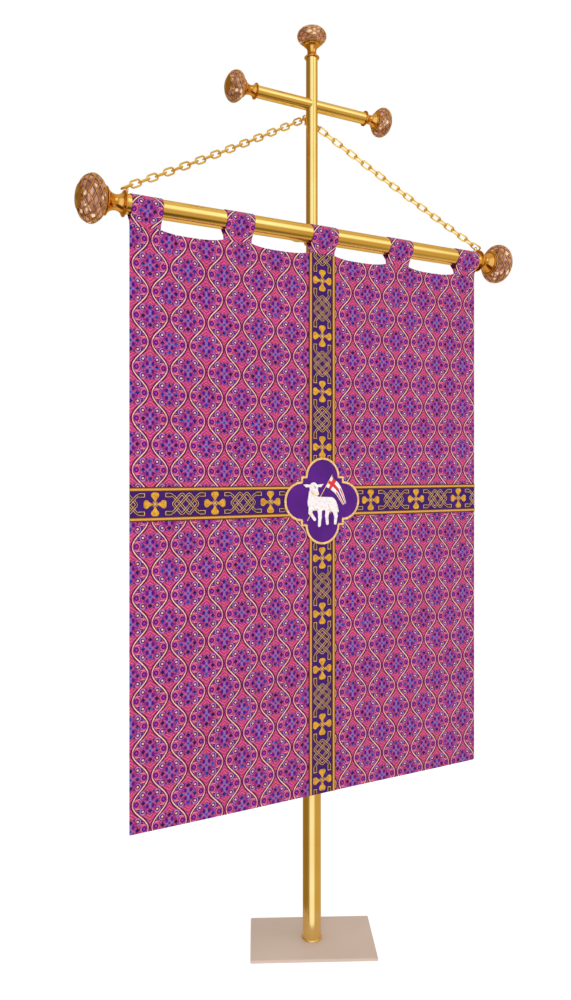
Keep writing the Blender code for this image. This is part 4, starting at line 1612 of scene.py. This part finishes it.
strap_pair, strap_lifts = strap_paths()
OUT, IN = STRAP_HALF, STRAP_HALF - THREAD_WIDE
edge_profiles = [[(-OUT, 0.0), (-OUT, 0.35), (-(OUT + IN) / 2, 0.60), (-IN, 0.35), (-IN, 0.0)],
                 [(IN, 0.0), (IN, 0.35), ((OUT + IN) / 2, 0.60), (OUT, 0.35), (OUT, 0.0)]]
end_profile = [(-0.45, 0.0), (-0.45, 0.35), (0.0, 0.60), (0.45, 0.35), (0.45, 0.0)]
end_x, end_z = STRAP_CORNERS[0]
end_paths = [np.array([(side * end_x - END_HALF, up * end_z), (side * end_x + END_HALF, up * end_z)])
             for side in (-1, 1) for up in (-1, 1)]
fill_profile = [(-IN, 0.0), (-IN, 0.12), (IN, 0.12), (IN, 0.0)]
knot_edge_piece = pattern_piece("knot_edges", *combine(
    [strap_mesh(path, lift, profile) for path, lift in zip(strap_pair, strap_lifts)
     for profile in edge_profiles]
    + [strap_mesh(path, (0.0, 0.0), end_profile) for path in end_paths]))
knot_fill_piece = pattern_piece("knot_fills", *combine(
    [strap_mesh(path, lift, fill_profile) for path, lift in zip(strap_pair, strap_lifts)]))
for piece in (knot_edge_piece, knot_fill_piece):
    face_outward(piece)
print("knot:", len(knot_edge_piece.data.polygons), "faces of thread")

# %% [markdown]
# The crosslets and knots take turns along each ribbon at an even pitch, counted from the
# middle of the cross. Ends that run past the ribbon are cut off flat, as scissors would.

# %% Motifs along the ribbons
UPRIGHT_PITCH = 0.1398
LEVEL_PITCH = 0.1470
CROSSLET_BASE = BAND_BACK - 0.75 * MM
MOTIF_MIDDLE = CROSS_Z - 0.004
KNOT_HALF = 0.0485
KNOT_SHOWN = 0.8                         # a knot is laid if this share of its half fits
END_CLEAR = 0.0004                       # motifs stop this far short of a ribbon's end
UPRIGHT_EDGE = 0.0425                    # and this far from the middle of the upright one


def trim(piece, point, normal):
    """Cuts off what lies past a plane and closes the cut."""
    bm = bmesh.new()
    bm.from_mesh(piece.data)
    geometry = list(bm.verts) + list(bm.edges) + list(bm.faces)
    cut_edges = bmesh.ops.bisect_plane(bm, geom=geometry, plane_co=point, plane_no=normal,
                                       clear_outer=True, dist=1e-6)["geom_cut"]
    rim = [e for e in cut_edges if isinstance(e, bmesh.types.BMEdge)]
    if rim:
        bmesh.ops.holes_fill(bm, edges=rim, sides=0)
    bm.to_mesh(piece.data)
    bm.free()


def motif_row(name, pattern, material, first, step, count, level):
    """Copies of a flat motif at even places, turned to lie along a level ribbon."""
    places = [first + step * i for i in range(count)]
    if level:
        line = [Vector((place, CROSSLET_BASE, CROSS_Z)) for place in places]
    else:
        line = [Vector((0, CROSSLET_BASE, place)) for place in places]
    if level:
        turned_points = [(v.co.z, v.co.y, -v.co.x) for v in pattern.data.vertices]
        faces = [tuple(p.vertices) for p in pattern.data.polygons]
        pattern = pattern_piece(f"{name}_pattern", turned_points, faces)
    lone = Vector((1e-6, 0, 0)) if level else Vector((0, 0, 1e-6))
    path = path_curve(name, line if count > 1 else [line[0], line[0] + lone])
    return grow(name, path, motif_tree, piece=pattern, material=material)


def make_motif_tree():
    """Sets a copy of a piece on every point of a path, unturned."""
    plan = Plan("motifs_on_a_ribbon", (("Piece", "Object"), ("Material", "Material")))
    spots = plan.step("GeometryNodeCurveToPoints", {"Curve": plan.given["Geometry"]},
                      mode="EVALUATED")
    copy = plan.step("GeometryNodeObjectInfo", {"Object": plan.given["Piece"]}, "Geometry")
    return plan.finish(plan.step("GeometryNodeInstanceOnPoints",
                                 {"Points": spots, "Instance": copy}))


motif_tree = make_motif_tree()
MOTIFS = (("crosslets", crosslet_piece, amber_stitch, 0.0), ("ties", tie_piece, tan_thread, 0.0),
          ("knot_fills", knot_fill_piece, knot_fill, 0.5),
          ("knot_threads", knot_edge_piece, tan_thread, 0.5))
motif_rows = []
for word, pattern, material, shift in MOTIFS:
    for node, sign in (("band_upright", 1), ("band_upright", -1), ("band_left", -1),
                       ("band_right", 1)):
        band, start, end = bands[node]
        level = node != "band_upright"
        pitch = LEVEL_PITCH if level else UPRIGHT_PITCH
        middle = 0.0 if level else MOTIF_MIDDLE
        limit = abs((end if sign > 0 else start) - middle)
        first = 1.0 - shift
        reach = KNOT_HALF if shift else 0.0
        count = int((limit + reach * KNOT_SHOWN) / pitch - first + 1e-6) + 1
        side = "" if level else ("_upper" if sign > 0 else "_lower")
        row = motif_row(f"{word}_{node[5:]}{side}", pattern, material,
                        middle + sign * pitch * first, sign * pitch, count, level)
        far = Vector(((sign * limit + middle) if level else 0, 0,
                      0 if level else sign * limit + middle))
        out = Vector((sign, 0, 0)) if level else Vector((0, 0, sign))
        trim(row, far - out * END_CLEAR, out)
        if level:
            trim(row, Vector((sign * UPRIGHT_EDGE, 0, 0)), -out)
        hang(row)
        adopt(row, "gold_cord")
        motif_rows.append((node, row))

for node, (band, start, end) in bands.items():
    parts = [row for owner, row in motif_rows if owner == node]
    end - start

# %% [markdown]
# ## The medallion
# A quatrefoil of purple satin, padded a little, covers the crossing of the ribbons. Its edge
# is a laid rope of pale gold. The rope is one slanted strand, copied along the outline.

# %% Satin patch and rope
LOBE_OUT = 60.0
LOBE_R = 50.0
CORNER_HALF = 63.0
ROPE_WIDE = 6.5
ROPE_PITCH = 0.0042
ROPE_FORWARD = 0.0016                    # rope's middle in front of the patch's back
STRAND_SIZE = (0.0060, 0.0066, 0.0030)   # along, across and high
STRAND_SLANT = 0.70
PATCH_BED = 1.1                          # millimetres from the frame's cord to the patch
PATCH_DOME = 0.9
PATCH_RIM = 0.9


def quatrefoil(x, z, inset):
    lobes = np.minimum(disc(np.abs(x), z, (LOBE_OUT, 0), LOBE_R - inset),
                       disc(x, np.abs(z), (0, LOBE_OUT), LOBE_R - inset))
    square = np.maximum(np.abs(x), np.abs(z)) - (CORNER_HALF - inset)
    return np.minimum(lobes, square)


def quatrefoil_path(inset, steps=22):
    """The outline as points in metres, from lobe to corner to lobe."""
    radius, corner = LOBE_R - inset, CORNER_HALF - inset
    limit = math.acos((corner - LOBE_OUT) / radius)
    points = []
    for quarter in range(4):
        cos, sin = round(math.cos(quarter * math.pi / 2)), round(math.sin(quarter * math.pi / 2))
        lobe = [(LOBE_OUT + radius * math.cos(-limit + 2 * limit * i / steps),
                 radius * math.sin(-limit + 2 * limit * i / steps)) for i in range(steps + 1)]
        lobe.append((corner, corner))
        points += [(x * cos - z * sin, x * sin + z * cos) for x, z in lobe]
    return [Vector((x * MM, 0, z * MM)) for x, z in points]


patch = relief_piece("medallion_patch", patch_satin,
                     lambda x, z: quatrefoil(x, z, ROPE_WIDE - 0.6), (-106, 106, -106, 106), 2.6,
                     PATCH_DOME, PATCH_BACK - PATCH_BED * MM, PATCH_RIM, 22.0, (0.0, CROSS_Z))
set_weave(patch.data, lambda polygon, vertex: (patch.data.vertices[vertex].co.x,
                                               patch.data.vertices[vertex].co.z))
hang(patch)
adopt(patch, "satin", "medallion")


def strand(long, wide, high, slant):
    """A fat slanted bead: one turn of a laid rope, along X and facing -Y."""
    points, faces = bead_points(1.0, 6, 10)
    placed = []
    for x, y, z in points:
        z_place = z * wide / 2
        placed.append((x * long / 2 + z_place * slant, y * high / 2, z_place))
    return placed, faces


strand_piece = pattern_piece("strand", *strand(*STRAND_SIZE, STRAND_SLANT))
rope_y = PATCH_BACK - ROPE_FORWARD
outline = [point + Vector((0, rope_y, CROSS_Z)) for point in quatrefoil_path(ROPE_WIDE / 2)]
outline_long = sum((b - a).length for a, b in zip(outline, outline[1:] + outline[:1]))
rope = grow("medallion_rope", path_curve("rope_line", outline, True), flat_row_tree,
            piece=strand_piece, count=round(outline_long / ROPE_PITCH), twist=0.0,
            material=rope_gold)
hang(rope)
adopt(rope, "gold_cord", "medallion_cord")
print(f"rope outline {outline_long:.3f} m")

# %% [markdown]
# ## The lamb
# A lamb with a banner is an old device of church needlework. It is put together from tapered
# bars and discs: a round body, a head held up over the chest, and one foreleg raised to a thin
# staff. Each part is padded by itself, far legs lowest and the head highest, so their edges
# overlap as layers of stitching do.

# %% The lamb's parts, in millimetres from the medallion's middle
def lamb_body(x, z):
    return joined([
        bar(x, z, (-27, -6), (22, -7), 17.5, 16.5),
        bar(x, z, (-29, 2), (-30, 20), 15.5, 11.5),
        disc(x, z, (26, -12), 15.5),
        bar(x, z, (33, -20), (38, -38), 8.5, 4.6), bar(x, z, (38, -38), (36, -57), 4.6, 3.9),
        bar(x, z, (-10, -18), (-9, -40), 7.5, 4.6), bar(x, z, (-9, -40), (-11, -61), 4.6, 4.1),
    ], 4.0)


def lamb_far_legs(x, z):
    return joined([
        bar(x, z, (-34, -14), (-37, -29), 8.0, 4.8), bar(x, z, (-37, -29), (-24, -46), 4.6, 3.9),
        bar(x, z, (15, -18), (11, -38), 8.0, 4.6), bar(x, z, (11, -38), (13, -57), 4.5, 4.0),
    ], 3.0)


def lamb_head(x, z):
    return joined([
        disc(x, z, (-28, 34), 12.0, 1.08),
        bar(x, z, (-25, 28), (-20, 20), 9.0, 6.8),
    ], 4.0)


def lamb_ears(x, z):
    left = joined([bar(x, z, (-38, 38), (-49, 38.5), 3.4, 3.6),
                   bar(x, z, (-49, 38.5), (-57, 41), 3.4, 0.8)])
    right = joined([bar(x, z, (-18, 38), (-8, 38.5), 3.2, 3.4),
                    bar(x, z, (-8, 38.5), (0, 42), 3.2, 0.8)])
    return np.minimum(left, right)


def lamb_tail(x, z):
    return bar(x, z, (39, -10), (44, -27), 3.4, 2.8)


PATCH_FACE = PATCH_BACK - (PATCH_BED + PATCH_DOME + 0.80) * MM
LAMB_PARTS = (
    ("lamb_far_legs", lamb_far_legs, fleece_white, (-46, 22, -62, -4), 1.0, 0.0),
    ("lamb_tail", lamb_tail, fleece_white, (34, 49, -32, -4), 1.0, 0.0),
    ("lamb_body", lamb_body, fleece_white, (-50, 46, -67, 34), 1.9, 0.4),
    ("lamb_ears", lamb_ears, fleece_white, (-60, 4, 32, 46), 1.2, 1.5),
    ("lamb_head", lamb_head, fleece_white, (-42, -10, 10, 49), 1.7, 1.5),
    ("lamb_eye", lambda x, z: bar(x, z, (-26.5, 37), (-22.5, 32), 1.25, 0.85), eye_dark,
     (-30, -18, 28, 40), 0.5, 3.1),
)
lamb_pieces = []
for name, shape, material, reach, dome, lift in LAMB_PARTS:
    piece = relief_piece(name, material, shape, reach, 1.0 if "eye" not in name else 0.5, dome,
                         PATCH_FACE - lift * MM, 0.5, 5.0, (0.0, CROSS_Z))
    hang(piece)
    lamb_pieces.append(adopt(piece, "satin"))
print("lamb:", sum(len(p.data.polygons) for p in lamb_pieces), "faces")

# %% [markdown]
# The staff and the gold outlines are laid threads: lines swept with the rib tree. The little
# banner is a sheet that curls away from the staff and ends in two tails. A grid along and
# across it makes it easy to give the cross and the tails' stripes their own red faces.

# %% Staff, outlines and the little banner
def laid_threads(name, runs, radius, lift, material):
    """Lines of thread laid on the patch; each run is a list of (x, z) in millimetres."""
    points, edges = [], []
    for run in runs:
        for i, (x, z) in enumerate(run):
            points.append((x * MM, PATCH_FACE - lift * MM, CROSS_Z + z * MM))
            if i:
                edges.append((len(points) - 2, len(points) - 1))
    mesh = bpy.data.meshes.new(name)
    mesh.from_pydata(points, edges, [])
    piece = grow(name, mesh, rib_tree, radius=radius * MM, sides=8, material=material)
    return adopt(hang(piece), "satin")


THREAD_STEPS = 5                         # points between two corners of a laid thread


staff = laid_threads("lamb_staff", [[(-46, -49), (27, 66)], [(23.5, 62.5), (29.5, 58.8)]],
                     1.0, 0.9, rope_gold)
outlines = laid_threads("lamb_outlines", [
    smooth_outline([(-38, 27), (-33, 20), (-24, 14.5), (-16, 15), (-13.5, 19)], THREAD_STEPS),
    smooth_outline([(-34, 28), (-30, 24), (-26, 22)], THREAD_STEPS),
], 0.75, 3.6, rope_gold)
contours = laid_threads("lamb_contours", [
    smooth_outline([(12, -8), (17, -16), (18, -24), (22, -31)], THREAD_STEPS),
    smooth_outline([(-32, -10), (-29, -17), (-22, -21), (-16, -22)], THREAD_STEPS),
], 0.75, 2.7, rope_gold)

FLAG_LINE = ((15.0, 48.0), (24.5, 43.5), (33.5, 37.0), (43.0, 27.0), (51.5, 14.0), (63.0, -9.0))
FLAG_HALF = (14.8, 14.2, 13.6, 12.0, 9.5, 5.0)
FLAG_STEPS = 44
FLAG_ROWS = 20
FLAG_AT_STAFF = 6                        # steps over which it turns from the staff's own slant
STAFF_SQUARE = (0.85, -0.53)             # the way across the staff
TAILS_FROM = 0.60                        # shares of the flag's length and half width
SLIT_HALF = 0.22
CROSS_BAR_HALF = 0.26
CROSS_UPRIGHT = (0.15, 0.33)
TAIL_STRIPE = (0.45, 0.78)


def make_flag():
    line = np.array(smooth_outline(FLAG_LINE, 12))
    half = np.interp(np.linspace(0, len(FLAG_HALF) - 1, len(line)), range(len(FLAG_HALF)),
                     FLAG_HALF)
    share = np.linspace(0, len(line) - 1, FLAG_STEPS + 1)
    spots = np.stack([np.interp(share, range(len(line)), line[:, k]) for k in range(2)], axis=1)
    half = np.interp(share, range(len(line)), half)
    points = []
    for i in range(FLAG_STEPS + 1):
        tangent = spots[min(i + 1, FLAG_STEPS)] - spots[max(i - 1, 0)]
        tangent = tangent / np.linalg.norm(tangent)
        if i < FLAG_AT_STAFF:
            share_out = i / FLAG_AT_STAFF
            tangent = np.array(STAFF_SQUARE) * (1 - share_out) + tangent * share_out
            tangent = tangent / np.linalg.norm(tangent)
        normal = np.array((-tangent[1], tangent[0]))
        for j in range(FLAG_ROWS + 1):
            t = 2 * j / FLAG_ROWS - 1
            x, z = spots[i] + normal * t * half[i]
            wave = 0.9 + 0.5 * math.sin(i * 0.32 + t)
            points.append((x * MM, PATCH_FACE - (0.8 + wave) * MM, CROSS_Z + z * MM))
    faces, kinds = [], []
    for i in range(FLAG_STEPS):
        for j in range(FLAG_ROWS):
            t = abs((2 * j + 1) / FLAG_ROWS - 1)
            s = i / FLAG_STEPS
            if s > TAILS_FROM and t < SLIT_HALF:
                continue
            a = i * (FLAG_ROWS + 1) + j
            faces.append((a, a + FLAG_ROWS + 1, a + FLAG_ROWS + 2, a + 1))
            if s < TAILS_FROM:
                red = t < CROSS_BAR_HALF or CROSS_UPRIGHT[0] < s < CROSS_UPRIGHT[1]
            else:
                red = TAIL_STRIPE[0] < t < TAIL_STRIPE[1]
            kinds.append(1 if red else 0)
    flag = add_piece("lamb_flag", points, faces, fleece_white, sharp=60.0)
    flag.data.materials.append(flag_red)
    flag.data.polygons.foreach_set("material_index", kinds)
    bm = bmesh.new()
    bm.from_mesh(flag.data)
    loose = [v for v in bm.verts if not v.link_faces]
    bmesh.ops.delete(bm, geom=loose, context="VERTS")
    bm.to_mesh(flag.data)
    bm.free()
    thick = flag.modifiers.new("thickness", "SOLIDIFY")
    thick.thickness = 0.0006
    return hang(flag)


flag = adopt(make_flag(), "satin")
lamb_pieces += [staff, outlines, contours, flag]

# %% [markdown]
# ## The base plate
# A flat steel plate keeps the stand upright. Its corners are square and its edges are just
# broken with a file, so a small bevel is all it needs. A matt stoved finish has a faint grain.

# %% Plate and its finish
PLATE_WIDE = 0.315
PLATE_DEEP = 0.190
PLATE_TURN = math.radians(-26.5)
plate_low, plate_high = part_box("base_plate")


def paint_plate():
    recipe = Recipe("stoved_taupe", {"Specular IOR Level": 0.35})
    place = recipe.place()
    fine = recipe.grain(place, 900.0, 2.0)
    drift = recipe.grain(place, 6.0, 2.0)
    colour = recipe.mix(drift, srgb(208, 187, 172), srgb(198, 176, 161))
    recipe.bump(fine, 0.0002, 0.25)
    return recipe.finish(base_color=recipe.shade(colour, fine * 0.08 + 0.96),
                         roughness=fine * 0.12 + 0.46)


def make_plate():
    bm = bmesh.new()
    bmesh.ops.create_cube(bm, size=1.0)
    for vertex in bm.verts:
        vertex.co.x *= PLATE_WIDE
        vertex.co.y *= PLATE_DEEP
        vertex.co.z = vertex.co.z * (plate_high.z - plate_low.z) + plate_high.z / 2
    bmesh.ops.bevel(bm, geom=list(bm.edges), offset=0.0009, segments=3, affect="EDGES")
    bmesh.ops.rotate(bm, verts=bm.verts, matrix=Matrix.Rotation(PLATE_TURN, 3, "Z"))
    mesh = bpy.data.meshes.new("stand_plate")
    bm.to_mesh(mesh)
    bm.free()
    mesh.materials.append(paint_plate())
    mesh.shade_smooth()
    mesh.set_sharp_from_angle(angle=math.radians(25))
    plate = bpy.data.objects.new("stand_plate", mesh)
    bpy.context.scene.collection.objects.link(plate)
    return plate


plate = adopt(make_plate(), "painted_plate", "base_plate")
weld = turned("foot_collar", [(0.0, LOWER_R + 0.0022), (0.0012, LOWER_R + 0.0026),
                              (0.0030, LOWER_R + 0.0020), (0.0042, LOWER_R + 0.0003)],
              (0, 0, plate_high.z + PART_GAP / 2), (0, 0, 1), gilt_tube)
adopt(weld, "gilt_tube")

# %% [markdown]
# ## Floor
# A plain white floor carries the plate. It isn't part of the object.

# %% Floor
FLOOR_HALF = 9.0
FLOOR_GLOW = 0.32
floor_mesh = bpy.data.meshes.new("floor")
floor_mesh.from_pydata([(-FLOOR_HALF, -FLOOR_HALF, 0), (FLOOR_HALF, -FLOOR_HALF, 0),
                        (FLOOR_HALF, FLOOR_HALF, 0), (-FLOOR_HALF, FLOOR_HALF, 0)], [],
                       [(0, 1, 2, 3)])
floor = bpy.data.objects.new("floor", floor_mesh)
floor_recipe = Recipe("floor_paint", {"Roughness": 0.9, "Specular IOR Level": 0.1,
                                      "Emission Color": (1, 1, 1, 1),
                                      "Emission Strength": FLOOR_GLOW})
floor_grain = floor_recipe.grain(floor_recipe.place(), 2.0)
floor_mesh.materials.append(floor_recipe.finish(
    base_color=floor_recipe.mix(floor_grain, (0.93, 0.93, 0.93, 1), (0.91, 0.91, 0.91, 1))))
bpy.context.scene.collection.objects.link(floor)
floor.visible_glossy = False

# %% Clear the patterns away
for obj in list(bpy.data.objects):
    if obj.type == "MESH" and obj.hide_render and "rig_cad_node" not in obj:
        bpy.data.objects.remove(obj)
